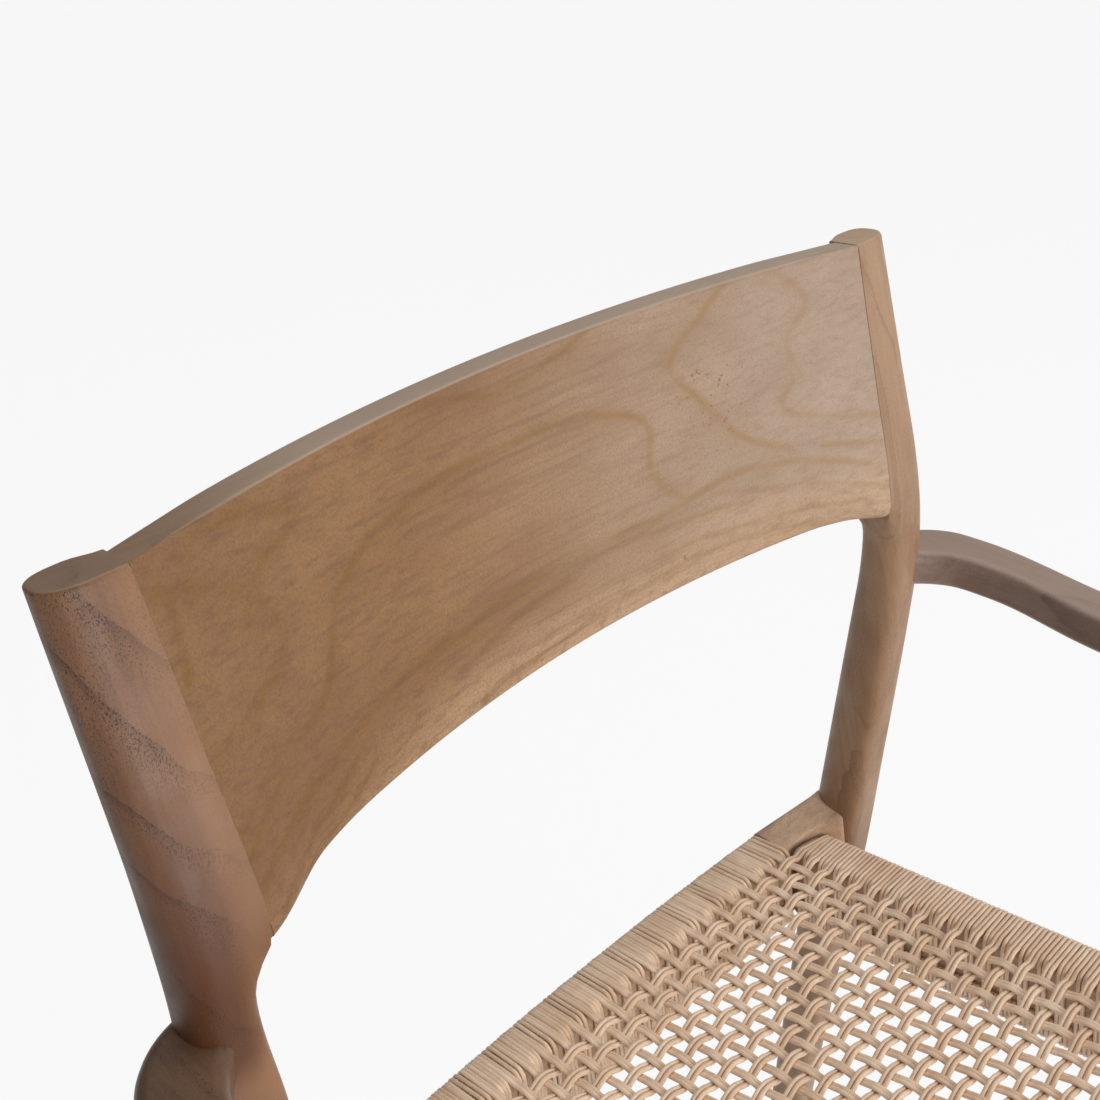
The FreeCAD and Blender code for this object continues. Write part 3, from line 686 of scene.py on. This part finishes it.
def make_warps():
    """The cord pairs that run from front to back, over both rails."""
    paths = []
    last = over_rail(-seat_front - rail_width, -seat_front)
    for m in warp_numbers:
        for side in (-1, 1):
            x = warp_start + warp_pitch * m + side * warp_strand_offset
            back = seat_back - rail_bow(x)
            bend = tangent_back - rail_bow(x)
            first = over_rail(back - rail_width, back + back_cord_reach, back_cord_rise)
            y = even_steps(bend, tangent_front, weft_pitch / samples_per_crossing)
            index = (weft_start - y) / weft_pitch
            fade = smooth((bend - y) / weft_pitch) * smooth((y - tangent_front) / weft_pitch)
            wave = warp_wave * np.cos(math.pi * (index + m - crossing_shift)) * fade
            rise = back_cord_rise * smooth((y - bend + back_cord_fade) / back_cord_fade)
            line = across_seat(first, y, cord_level(x, y) + wave + rise, last)
            paths.append(tipped(np.insert(line, 0, x, axis=1)))
    return paths


def make_wefts():
    """The cord pairs that run from side to side, over both side rails."""
    paths = []
    loop = over_rail(side_rail_outer - rail_width, side_rail_outer)
    x = even_steps(tangent_x, -tangent_x, warp_pitch / samples_per_crossing)
    index = (x - warp_start) / warp_pitch - crossing_shift
    fade = smooth((tangent_x - np.abs(x)) / (warp_pitch * weft_fade_share))
    for k in weft_numbers:
        for side in (-1, 1):
            y = weft_start - weft_pitch * k + side * strand_offset
            wave = np.cos(math.pi * (index + k))
            wave = -weft_wave * np.sign(wave) * np.abs(wave) ** weft_wave_power * fade
            path = np.insert(across_seat(loop, x, cord_level(x, y) + wave, loop), 1, y, axis=1)
            on_rail = smooth((np.abs(path[:, 0]) - tangent_x) / rail_width)
            room = seat_back - rail_width - rail_bow(path[:, 0]) - 2 * cord_diameter
            limit = room - on_rail * weft_crowding + side * strand_offset
            path[:, 1] = np.minimum(path[:, 1], np.maximum(limit, path[:, 1] - weft_shift_most))
            paths.append(tipped(path))
    return paths


def winding_places(pairs, low, high, turn_counts):
    """Where the turns between neighbouring pairs lie along a rail."""
    edge = strand_offset + cord_radius
    starts = [low] + [pair + edge for pair in pairs]
    ends = [pair - edge for pair in pairs] + [high]
    places = []
    for number, (start, end) in enumerate(zip(starts, ends)):
        count = turn_counts[number % len(turn_counts)]
        if number in (0, len(pairs)):
            count = max(int((end - start) / (2 * cord_radius)), 0)
        places += [mix(start, end, (turn + 0.5) / count) for turn in range(count)]
    return places


def wound(front, back, along, rise=0.0):
    """Along, y and z of one turn round a rail, slightly out of line as wound by hand."""
    radius = cord_radius * (turn_size_least + turn_size_range * rng.random())
    loop = cord_loop(front, back, radius, rise)
    loop = np.vstack([loop, loop[:1]])
    waver = (rng.random(len(loop)) - 0.5) * turn_waver
    short, long = turn_sway_lengths
    sway = turn_sway * math.sin(along / short) * math.sin(along / long)
    tilt = (rng.random() - 0.5) * turn_tilt + sway
    shift = along + waver + tilt * (loop[:, 0] - (front + back) / 2) / rail_width
    return np.column_stack([shift, loop])


def make_windings():
    """The turns on each rail, under the name of its node."""
    warps = [warp_start + warp_pitch * m for m in warp_numbers]
    wefts = sorted(weft_start - weft_pitch * k for k in weft_numbers)
    half = winding_half_length - winding_end_room
    backs, fronts = [], []
    for x in winding_places(warps, -half, half, back_turn_counts):
        back = seat_back - rail_bow(x)
        backs.append(tipped(wound(back - rail_width, back + back_cord_reach, x, back_cord_rise)))
        fronts.append(tipped(wound(-seat_front - rail_width, -seat_front, x) * (1, -1, 1)))
    turns = {"back_winding": backs, "front_winding": fronts}
    low = seat_front + rail_width + 2 * cord_diameter
    for name, side in (("side_winding_left", 1), ("side_winding_right", -1)):
        turns[name] = []
        for y in winding_places(wefts, low, wefts[-1], side_turn_counts):
            turn = wound(side_rail_outer - rail_width, side_rail_outer, y)
            turns[name].append(tipped(turn[:, (1, 0, 2)] * (side, 1, 1)))
    return turns


# Materials

class Shader:
    """The node tree of a material or of the world, built from short calls."""

    def __init__(self, owner, output="OutputMaterial"):
        self.owner = owner
        owner.use_nodes = True
        self.tree = owner.node_tree
        self.tree.nodes.clear()
        self.output = self.add(output)

    def add(self, kind, inputs=None, **settings):
        node = self.tree.nodes.new("ShaderNode" + kind)
        for key, value in settings.items():
            setattr(node, key, value)
        for key, value in (inputs or {}).items():
            if isinstance(value, bpy.types.NodeSocket):
                self.tree.links.new(value, node.inputs[key])
            else:
                node.inputs[key].default_value = value
        return node

    def shown(self, shader):
        self.tree.links.new(shader, self.output.inputs[0])
        return self.owner

    def object_place(self):
        return self.add("TexCoord").outputs["Object"]

    def parts(self, vector):
        return self.add("SeparateXYZ", {0: vector}).outputs

    def upward(self):
        return self.parts(self.add("NewGeometry").outputs["Normal"])[2]

    def math(self, operation, a, b=0.0):
        return self.add("Math", {0: a, 1: b}, operation=operation).outputs[0]

    def times(self, first, *others):
        for other in others:
            first = self.math("MULTIPLY", first, other)
        return first

    def vector(self, operation, a, b):
        node = self.add("VectorMath", {0: a, 1: b}, operation=operation)
        return node.outputs["Value" if operation == "DOT_PRODUCT" else "Vector"]

    def noise(self, at, scale, detail=3.0, roughness=0.5):
        inputs = {"Vector": at, "Scale": scale, "Detail": detail, "Roughness": roughness}
        return self.add("TexNoise", inputs).outputs[0]

    def spread(self, value, low, high, to_low=0.0, to_high=1.0):
        node = self.add("MapRange", {0: value, 1: low, 2: high, 3: to_low, 4: to_high},
                        interpolation_type="SMOOTHSTEP")
        return node.outputs[0]

    def blend(self, share, a, b):
        return self.add("Mix", {0: share, 6: a, 7: b}, data_type="RGBA").outputs[2]

    def tint(self, colour, value, low, high, amount, tone):
        return self.blend(self.spread(value, low, high, 0.0, amount), colour, tone)

    def mapping(self, at, scale=(1, 1, 1), rotation=(0, 0, 0), location=(0, 0, 0)):
        inputs = {"Vector": at, "Rotation": rotation, "Scale": scale, "Location": location}
        return self.add("Mapping", inputs).outputs[0]

    def surface(self, colour, roughness, height, depth, strength, specular=0.5, sheen=0.0, metallic=0.0):
        bump = self.add("Bump", {"Height": height, "Distance": depth, "Strength": strength})
        inputs = {"Base Color": colour, "Roughness": roughness, "Normal": bump.outputs[0],
                  "Specular IOR Level": specular, "Sheen Weight": sheen, "Metallic": metallic}
        return self.shown(self.add("BsdfPrincipled", inputs).outputs[0])


def new_material(name):
    """A new material's node tree."""
    return Shader(bpy.data.materials.new(name))


def rgb(*levels):
    """A colour given as it looks on a screen, from 0 to 255."""
    shares = [level / 255 for level in levels]
    linear = [share / 12.92 if share <= 0.04045 else ((share + 0.055) / 1.055) ** 2.4 for share in shares]
    return (*linear, 1.0)


def wobble(s, at, scale, amount, stretch=(1, 1, 1)):
    """A soft random offset for bending growth lines."""
    noise = s.noise(s.mapping(at, stretch), scale).node.outputs[1]
    return s.vector("MULTIPLY", s.vector("SUBTRACT", noise, (0.5, 0.5, 0.5)), (amount,) * 3)


pore_tone = rgb(38, 20, 16)


def wood(name, light, middle, dark, turn, ring_slope, ring_spacing, ring_strength, pore_strength,
         roughness, seed, tints=(), top_sheen=None):
    """Open-pored washed timber, its grain turned onto the Z axis, with tints and a paler tone on its tops
    that paints their sheen.
    """
    s = new_material(name)
    at = s.object_place()
    grain = s.mapping(at, rotation=turn, location=(seed, seed * 0.7, seed * 1.3))
    stretched = s.mapping(grain, (1, 1, 0.25))
    bent = s.vector("ADD", grain, wobble(s, grain, 12, 0.055, (1, 1, 0.5)))
    bent = s.vector("ADD", bent, wobble(s, grain, 70, 0.004))
    phase = s.math("FRACT", s.math("DIVIDE", s.vector("DOT_PRODUCT", bent, ring_slope), ring_spacing))
    line = s.times(s.spread(phase, 0.7, 0.965), s.spread(phase, 1, 0.975))
    uneven = s.spread(s.noise(stretched, 24), 0.36, 0.6, 0.1, 1.0)
    line = s.times(s.math("POWER", line, 2.0), uneven)
    cloud = s.noise(s.mapping(grain, (1, 1, 0.4)), 18, 4, 0.62)
    streak = s.noise(s.mapping(grain, (1, 1, 0.05)), 330, 3, 0.6)
    grit = s.noise(grain, 1000, 2, 0.6)
    colour = s.blend(s.spread(cloud, 0.32, 0.68), middle, light)
    colour = s.blend(s.times(line, ring_strength), colour, dark)
    colour = s.tint(colour, streak, 0.35, 0.8, 0.28, dark)
    colour = s.tint(colour, grit, 0.4, 0.8, 0.25, dark)
    pore = s.spread(s.noise(s.mapping(grain, (1, 1, 0.55)), 2000, 1.5, 0.4), 0.555, 0.63)
    pore_bed = s.spread(s.noise(stretched, 32, 2), 0.42, 0.66, 0.1, 0.75)
    gathered = s.times(s.spread(phase, 0.35, 0.95), s.spread(phase, 1, 0.98))
    pores = s.times(pore, s.math("MAXIMUM", pore_bed, gathered), pore_strength)
    colour = s.blend(pores, colour, s.blend(0.5, dark, pore_tone))
    spot = s.parts(at)
    for axis, start, end, tint, amount in tints:
        colour = s.tint(colour, spot[axis], start, end, amount, tint)
    # Painted sheen: upward faces blend towards the top tone, as light that the tops catch.
    if top_sheen:
        colour = s.tint(colour, s.upward(), 0.55, 0.9, 0.6, top_sheen)
    gloss = s.spread(s.noise(grain, 60), 0.3, 0.7, roughness - 0.07, roughness + 0.08)
    height = s.math("SUBTRACT", s.times(grit, 0.4), pores)
    return s.surface(colour, gloss, height, 0.0003, 0.35, specular=0.42)


# Growth lines on the panel, each a few points across and up in mm, then its strength, width and halo
growth_lines = (
    (((-190, 815), (-160, 810), (-140, 800), (-165, 790), (-180, 775)), 0.8, 3.6, 6),
    (((-215, 805), (-190, 795), (-165, 770), (-165, 760), (-190, 745), (-215, 740)), 0.8, 4, 7),
    (((-210, 800), (-215, 770)), 1, 3, 5),
    (((-175, 720), (-150, 730), (-135, 755), (-115, 770), (-60, 780), (0, 780), (50, 775), (75, 760),
      (70, 740), (85, 720)), 1, 2.8, 8),
    (((140, 820), (120, 805), (95, 785), (110, 765), (130, 740), (160, 725)), 1, 2.8, 8),
    (((165, 820), (185, 800), (170, 780), (175, 760)), 0.6, 2.2, 6),
    (((170, 760), (160, 750), (185, 735), (215, 730)), 0.7, 2.2, 5),
    (((180, 720), (215, 715)), 0.8, 2, 4),
    (((-100, 820), (-60, 815), (-10, 805), (30, 810), (60, 820)), 0.8, 2, 5),
    (((-95, 710), (-40, 715), (60, 715), (145, 720), (205, 705)), 0.9, 2.4, 9),
    (((-60, 700), (20, 710), (130, 705)), 0.7, 2, 5),
    (((105, 715), (155, 705), (215, 690)), 0.7, 2, 5),
    (((-60, 675), (20, 680), (125, 685), (180, 675)), 0.6, 2, 5),
    (((-215, 710), (-195, 720), (-170, 725)), 0.8, 2, 5),
    (((-215, 700), (-200, 710), (-175, 715)), 0.7, 1.8, 5),
    (((-215, 685), (-190, 695), (-155, 705), (-75, 715)), 1, 2.4, 6),
    (((-205, 670), (-170, 685), (-140, 700)), 0.9, 2.2, 5),
    (((-185, 670), (-150, 680), (-135, 690)), 0.8, 2, 4),
    (((20, 695), (80, 695), (200, 685)), 0.5, 1.8, 4),
)
grain_sway = 0.5
halo_strength = 0.5
halo_upper_share = 0.35


def draw_grain(piece, points):
    """Stores how strongly the panel's growth lines show at each point of its mesh."""
    x, z = points[:, 0] / MM, points[:, 2] / MM
    sway_x = x + grain_sway * (np.sin(z / 9 + x / 17) + 0.5 * np.sin(z / 3.7 - x / 11 + 2))
    sway_z = z + grain_sway * (np.sin(x / 11 - z / 19 + 1) + 0.5 * np.sin(x / 4.3 + z / 13))
    swayed = np.stack([sway_x, sway_z], 1)
    value = np.zeros(len(points))
    for knots, strength, width, halo in growth_lines:
        line = through(knots, 6)
        best = np.full(len(points), np.inf)
        side = np.zeros(len(points))
        for start, end in zip(line, line[1:]):
            span = end - start
            off = swayed - start
            off = off - np.clip(off @ span / (span @ span), 0, 1)[:, None] * span
            away = np.hypot(off[:, 0], off[:, 1])
            closer = away < best
            best = np.where(closer, away, best)
            side = np.where(closer, np.sign(span[0] * off[:, 1] - span[1] * off[:, 0]), side)
        core = np.exp(-(best / width) ** 2)
        glow = halo_strength * np.exp(-best / halo) * np.where(side < 0, 1.0, halo_upper_share)
        value = np.maximum(value, strength * np.maximum(core, glow))
    layer = piece.data.attributes.new("growth", "FLOAT", "POINT")
    layer.data.foreach_set("value", value.astype(np.float32))


def panel_wood(name):
    """The back panel's light timber with its wide golden growth lines, a painted sheen on its left end and
    tops and painted light on its low bevel.
    """
    s = new_material(name)
    at = s.object_place()
    wide = s.mapping(at, (0.5, 1, 1))
    x, _, z = s.parts(at)
    lines = s.add("Attribute", attribute_name="growth").outputs["Fac"]
    lines = s.times(lines, s.spread(s.noise(wide, 55, 4, 0.6), 0.28, 0.6, 0.45, 1.0))
    low_zone = s.spread(s.math("SUBTRACT", z, s.times(x, 0.055)), 0.712, 0.668)
    sweep = s.parts(s.vector("ADD", at, wobble(s, at, 9, 0.03, (0.5, 1, 0.6))))
    rise = s.math("SUBTRACT", sweep[2], s.times(sweep[0], 0.1))
    sweep = s.add("CombineXYZ", {0: s.times(sweep[0], 0.6), 2: rise}).outputs[0]
    bands = s.times(s.spread(s.noise(sweep, 150, 2), 0.5, 0.68), low_zone)
    cloud = s.noise(wide, 11, 4, 0.62)
    patch = s.spread(cloud, 0.32, 0.68)
    # Painted sheen: the panel grows pale and grey towards its left end, a whitish veil of reflected light;
    # the tones below follow it.
    sheen_end = s.spread(s.math("ADD", x, s.times(cloud, 0.06)), -0.08, 0.24)
    warm = s.blend(patch, rgb(128, 89, 50), rgb(144, 106, 65))
    pale = s.blend(patch, rgb(148, 125, 106), rgb(168, 146, 127))
    colour = s.blend(sheen_end, warm, pale)
    colour = s.tint(colour, x, -0.06, -0.2, 0.45, rgb(104, 71, 42))
    blotch = s.noise(s.mapping(at, (0.8, 1, 1.4)), 42, 4, 0.65)
    blotch_tone = s.blend(sheen_end, rgb(96, 64, 36), rgb(142, 112, 88))
    colour = s.tint(colour, blotch, 0.45, 0.75, 0.14, blotch_tone)
    # Painted light: the low bevel pales as if lit from the floor below.
    painted_bevel_light = s.times(low_zone, s.spread(x, -0.19, -0.06, 0.25, 0.75))
    colour = s.blend(painted_bevel_light, colour, rgb(190, 157, 124))
    line_tone = s.blend(sheen_end, rgb(110, 72, 4), rgb(142, 106, 38))
    colour = s.blend(s.times(lines, 0.7), colour, line_tone)
    band_tone = s.blend(sheen_end, rgb(112, 80, 52), rgb(150, 118, 90))
    colour = s.blend(s.times(bands, 0.5), colour, band_tone)
    streak = s.noise(s.mapping(at, (0.035, 1, 1)), 300, 3, 0.6)
    fibre_tone = s.blend(sheen_end, rgb(88, 58, 34), rgb(140, 110, 86))
    colour = s.tint(colour, streak, 0.42, 0.75, 0.45, fibre_tone)
    grit = s.noise(at, 900, 2, 0.6)
    colour = s.tint(colour, grit, 0.38, 0.7, 0.4, fibre_tone)
    fleck_bed = s.spread(s.noise(s.mapping(at, location=(5, 2, 1)), 15, 2), 0.58, 0.7)
    fleck = s.spread(s.noise(s.mapping(at, (0.6, 1, 1)), 480, 2), 0.64, 0.72)
    colour = s.blend(s.times(fleck, fleck_bed, 0.8), colour, rgb(120, 62, 28))
    pore = s.spread(s.noise(s.mapping(at, (0.12, 1, 1)), 1500, 1.5, 0.4), 0.66, 0.75)
    colour = s.blend(s.times(pore, 0.25), colour, rgb(104, 74, 50))
    # Painted sheen: upward faces pale, more towards the left end.
    top_sheen = s.times(s.spread(s.upward(), 0.6, 0.9), s.spread(x, -0.215, -0.1, 0.25, 0.75))
    colour = s.blend(top_sheen, colour, rgb(168, 149, 130))
    gloss = s.spread(s.noise(at, 50), 0.3, 0.7, 0.42, 0.56)
    rough = s.math("SUBTRACT", s.times(grit, 0.5), s.times(pore, 0.6))
    return s.surface(colour, gloss, rough, 0.0003, 0.3, specular=0.45)


def cord_material(name):
    """Smooth tan cord with a soft sheen and fine lengthwise lines."""
    s = new_material(name)
    lay = s.add("UVMap", uv_map="lay").outputs[0]
    strand = s.add("NewGeometry").outputs["Random Per Island"]
    lines = s.noise(s.mapping(lay, (60, 9, 1)), 3.0, 3, 0.6)
    cloud = s.noise(s.object_place(), 35, 3, 0.6)
    colour = s.blend(s.spread(cloud, 0.3, 0.7), rgb(225, 192, 160), rgb(242, 215, 187))
    colour = s.tint(colour, strand, 0.0, 1.0, 0.4, rgb(196, 158, 122))
    colour = s.tint(colour, lines, 0.4, 0.75, 0.4, rgb(170, 130, 96))
    gloss = s.spread(lines, 0.3, 0.7, 0.38, 0.52)
    return s.surface(colour, gloss, lines, 0.00025, 0.35, sheen=0.25)


def plain(name, colour, darker, roughness, metallic=0.0):
    """A small part's material, with slight wear in colour and gloss."""
    s = new_material(name)
    cloud = s.noise(s.object_place(), 300, 3, 0.6)
    tint = s.blend(s.spread(cloud, 0.35, 0.65), colour, darker)
    gloss = s.spread(cloud, 0.3, 0.7, roughness - 0.06, roughness + 0.08)
    return s.surface(tint, gloss, cloud, 0.0001, 0.2, metallic=metallic)


# Each wood has a light, middle and dark tone, the turn of its grain, the slope, spacing and strength of its
# rings, the strength of its pores, its roughness and a seed, then its tints and the tone of its tops, a
# painted sheen.
# A tint has an axis, the two places between which it comes in, its tone and its amount.
grain_on_post = (0.2, 0.0, 0.0)
grain_on_leg = (0.03, 0.05, 0.0)
grain_on_x = (0.0, math.radians(90), 0.0)
grain_on_y = (math.radians(90), 0.0, 0.0)
# Far post tints: darker from 0.6 m upward, painted shade against the lamp's stronger light there; paler
# below 0.46 m.
far_post_shade_tints = ((2, 0.6, 0.72, rgb(128, 98, 72), 0.35), (2, 0.46, 0.42, rgb(150, 118, 92), 0.3))
post_material = wood("teak_post", rgb(172, 139, 109), rgb(146, 113, 85), rgb(104, 75, 53), grain_on_post,
                     (0.9, 0.5, 0.1), 0.017, 0.35, 0.35, 0.48, 0.0, far_post_shade_tints, rgb(184, 158, 132))
near_post_tints = ((2, 0.8, 0.66, rgb(82, 45, 24), 0.78), (0, -0.238, -0.222, rgb(158, 116, 80), 0.4),
                   (2, 0.625, 0.6, rgb(150, 112, 84), 0.65))
near_post_material = wood("teak_post_near", rgb(130, 92, 64), rgb(108, 73, 48), rgb(48, 27, 20),
                          grain_on_post, (1.5, -0.9, 1.0), 0.044, 0.7, 1.0, 0.46, 0.63, near_post_tints,
                          rgb(128, 108, 88))
# The armrests have two copies of one wood: the near one darker, the far one paler and greyer, a painted
# sheen on the far arm.
near_arm_material = wood("teak_arm_near", rgb(112, 82, 58), rgb(92, 66, 46), rgb(60, 40, 30), grain_on_y,
                         (0.9, 0.4, 0.05), 0.018, 0.4, 0.5, 0.42, 0.81)
far_arm_sheen_material = wood("teak_arm", rgb(148, 126, 113), rgb(124, 102, 91), rgb(88, 68, 59), grain_on_y,
                    (0.9, 0.4, 0.05), 0.018, 0.4, 0.45, 0.4, 0.37, top_sheen=rgb(162, 140, 126))
leg_material = wood("teak_leg", rgb(166, 134, 112), rgb(142, 108, 88), rgb(96, 66, 52), grain_on_leg,
                    (0.6, 0.5, 0.25), 0.024, 0.5, 0.6, 0.5, 0.21)
rail_material = wood("teak_rail", rgb(202, 168, 138), rgb(178, 144, 115), rgb(114, 84, 63), grain_on_x,
                     (0.6, 0.7, 0.15), 0.02, 0.4, 0.35, 0.45, 0.11)
dowel_wood = wood("dowel_wood", rgb(206, 180, 148), rgb(192, 164, 130), rgb(160, 130, 96), grain_on_x,
                  (0.6, 0.7, 0.15), 0.006, 0.3, 0.3, 0.6, 0.5)
panel_material = panel_wood("teak_panel")
cord = cord_material("cord")
steel = plain("steel", rgb(190, 190, 192), rgb(160, 160, 162), 0.32, 1.0)
glide_plastic = plain("glide", rgb(58, 54, 50), rgb(44, 41, 38), 0.5)

# Pieces that stand for their CAD nodes

left_post = make_post(panel_low + left_low_end, left_haunch)
right_post = mirror_rings(make_post(panel_low + right_low_end, right_haunch))
place(skin("rear_leg_left_wood", left_post), post_material, "teak_post", "rear_leg_left")
place(skin("rear_leg_right_wood", right_post), near_post_material, "teak_post", "rear_leg_right")
panel_rings = make_panel()
panel = skin("back_panel_wood", panel_rings)
draw_grain(panel, panel_rings.reshape(-1, 3))
place(panel, panel_material, "teak_panel", "back_panel")
arm_rings = make_arm()[:, ::-1]
place(skin("armrest_left_wood", arm_rings), far_arm_sheen_material, "teak_arm", "armrest_left")
place(skin("armrest_right_wood", mirror_rings(arm_rings)), near_arm_material, "teak_arm", "armrest_right")
place(skin("back_rail_wood", make_back_rail()), rail_material, "teak_rail", "back_rail")
along_x, along_y = np.array([1, 0, 0]), np.array([0, 1, 0])
warp_pairs = tubes("warp_cord_pairs", make_warps(), along_x, warp_broad_share, warp_flat_share)
place(warp_pairs, cord, "cord", "warp_cord")
place(tubes("weft_cord_pairs", make_wefts(), along_y), cord, "cord", "weft_cord")
for node, paths in make_windings().items():
    place(tubes(node + "_turns", paths, along_y if "side" in node else along_x), cord, "cord", node)

# CAD nodes that keep their shape

kept_smooth_angle = 32
kept = ((leg_material, ("front_leg_left", "front_leg_right")),
        (rail_material, ("front_rail", "side_rail_left", "side_rail_right")),
        (dowel_wood, ("panel_dowels", "armrest_dowels", "side_rail_dowels")),
        (steel, ("cord_tacks", "glide_nails")),
        (glide_plastic, ("rear_glide_left", "rear_glide_right", "front_glide_left", "front_glide_right")))
for material, names in kept:
    for name in names:
        mesh = nodes[name].data
        mesh.materials.clear()
        mesh.materials.append(material)
        mesh.shade_smooth()
        mesh.set_sharp_from_angle(angle=math.radians(kept_smooth_angle))

# Floor, light and camera

floor_half = 30
floor_glow_share = 0.95
floor_paint = (0.86, 0.86, 0.86, 1)
sky_tone = (0.95, 0.97, 1, 1)
sky_strength = 0.26
paper_tone = rgb(248, 248, 248)
floor_tone = rgb(251, 251, 251)
corners = [(x * floor_half, y * floor_half, 0) for x, y in ((-1, -1), (1, -1), (1, 1), (-1, 1))]
floor = make_mesh("floor", corners, [(0, 1, 2, 3)])
paper = new_material("paper")
rays = paper.add("LightPath").outputs
seen = paper.math("MAXIMUM", rays["Is Glossy Ray"], rays["Is Transmission Ray"])
seen = paper.math("MAXIMUM", rays["Is Camera Ray"], seen)
lit = paper.add("BsdfDiffuse", {"Color": floor_paint}).outputs[0]
glow = paper.add("Emission", {"Color": floor_tone}).outputs[0]
cover = paper.add("MixShader", {0: paper.times(seen, floor_glow_share), 1: lit, 2: glow})
floor.data.materials.append(paper.shown(cover.outputs[0]))

world = Shader(bpy.data.worlds.new("world"), "OutputWorld")
rays = world.add("LightPath").outputs
sky = world.add("Background", {"Color": sky_tone, "Strength": sky_strength}).outputs[0]
backdrop = world.add("Background", {"Color": paper_tone}).outputs[0]
cover = world.add("MixShader", {0: rays["Is Camera Ray"], 1: sky, 2: backdrop})
bpy.context.scene.world = world.shown(cover.outputs[0])


def lamp(name, at, size, power, colour=(1, 1, 1)):
    """A large soft light aimed at the chair."""
    light = bpy.data.lights.new(name, "AREA")
    light.shape = "RECTANGLE"
    light.size, light.size_y = size
    light.energy = power
    light.color = colour
    holder = linked(name, light)
    holder.location = at
    holder.rotation_euler = (chair_middle - Vector(at)).to_track_quat("-Z", "Y").to_euler()


chair_middle = Vector((0, 0.05, 0.6))
lamp("key", (-0.25, -2.8, 1.4), (1.7, 1.5), 54, (1, 0.98, 0.95))
lamp("fill", (2.4, -1.2, 1.6), (1.8, 1.8), 18, (0.97, 0.985, 1))
lamp("top", (0.6, 0.3, 2.8), (2.2, 2.2), 28)
lamp("low", (0.3, -1.6, 0.12), (1.6, 0.6), 15)

camera_data = bpy.data.cameras.new("camera")
camera_data.sensor_width = sensor
camera_data.lens = photo_focal * sensor / photo_size
camera = linked("camera", camera_data)
forward = camera_forward.normalized()
right = (camera_right - forward * camera_right.dot(forward)).normalized()
up = right.cross(forward)
turn = Matrix((right, up, -forward)).transposed()
camera.matrix_world = Matrix.Translation(camera_place) @ turn.to_4x4()
camera_data.clip_start = camera_near
bpy.context.scene.camera = camera
bpy.context.scene.view_settings.view_transform = "Standard"
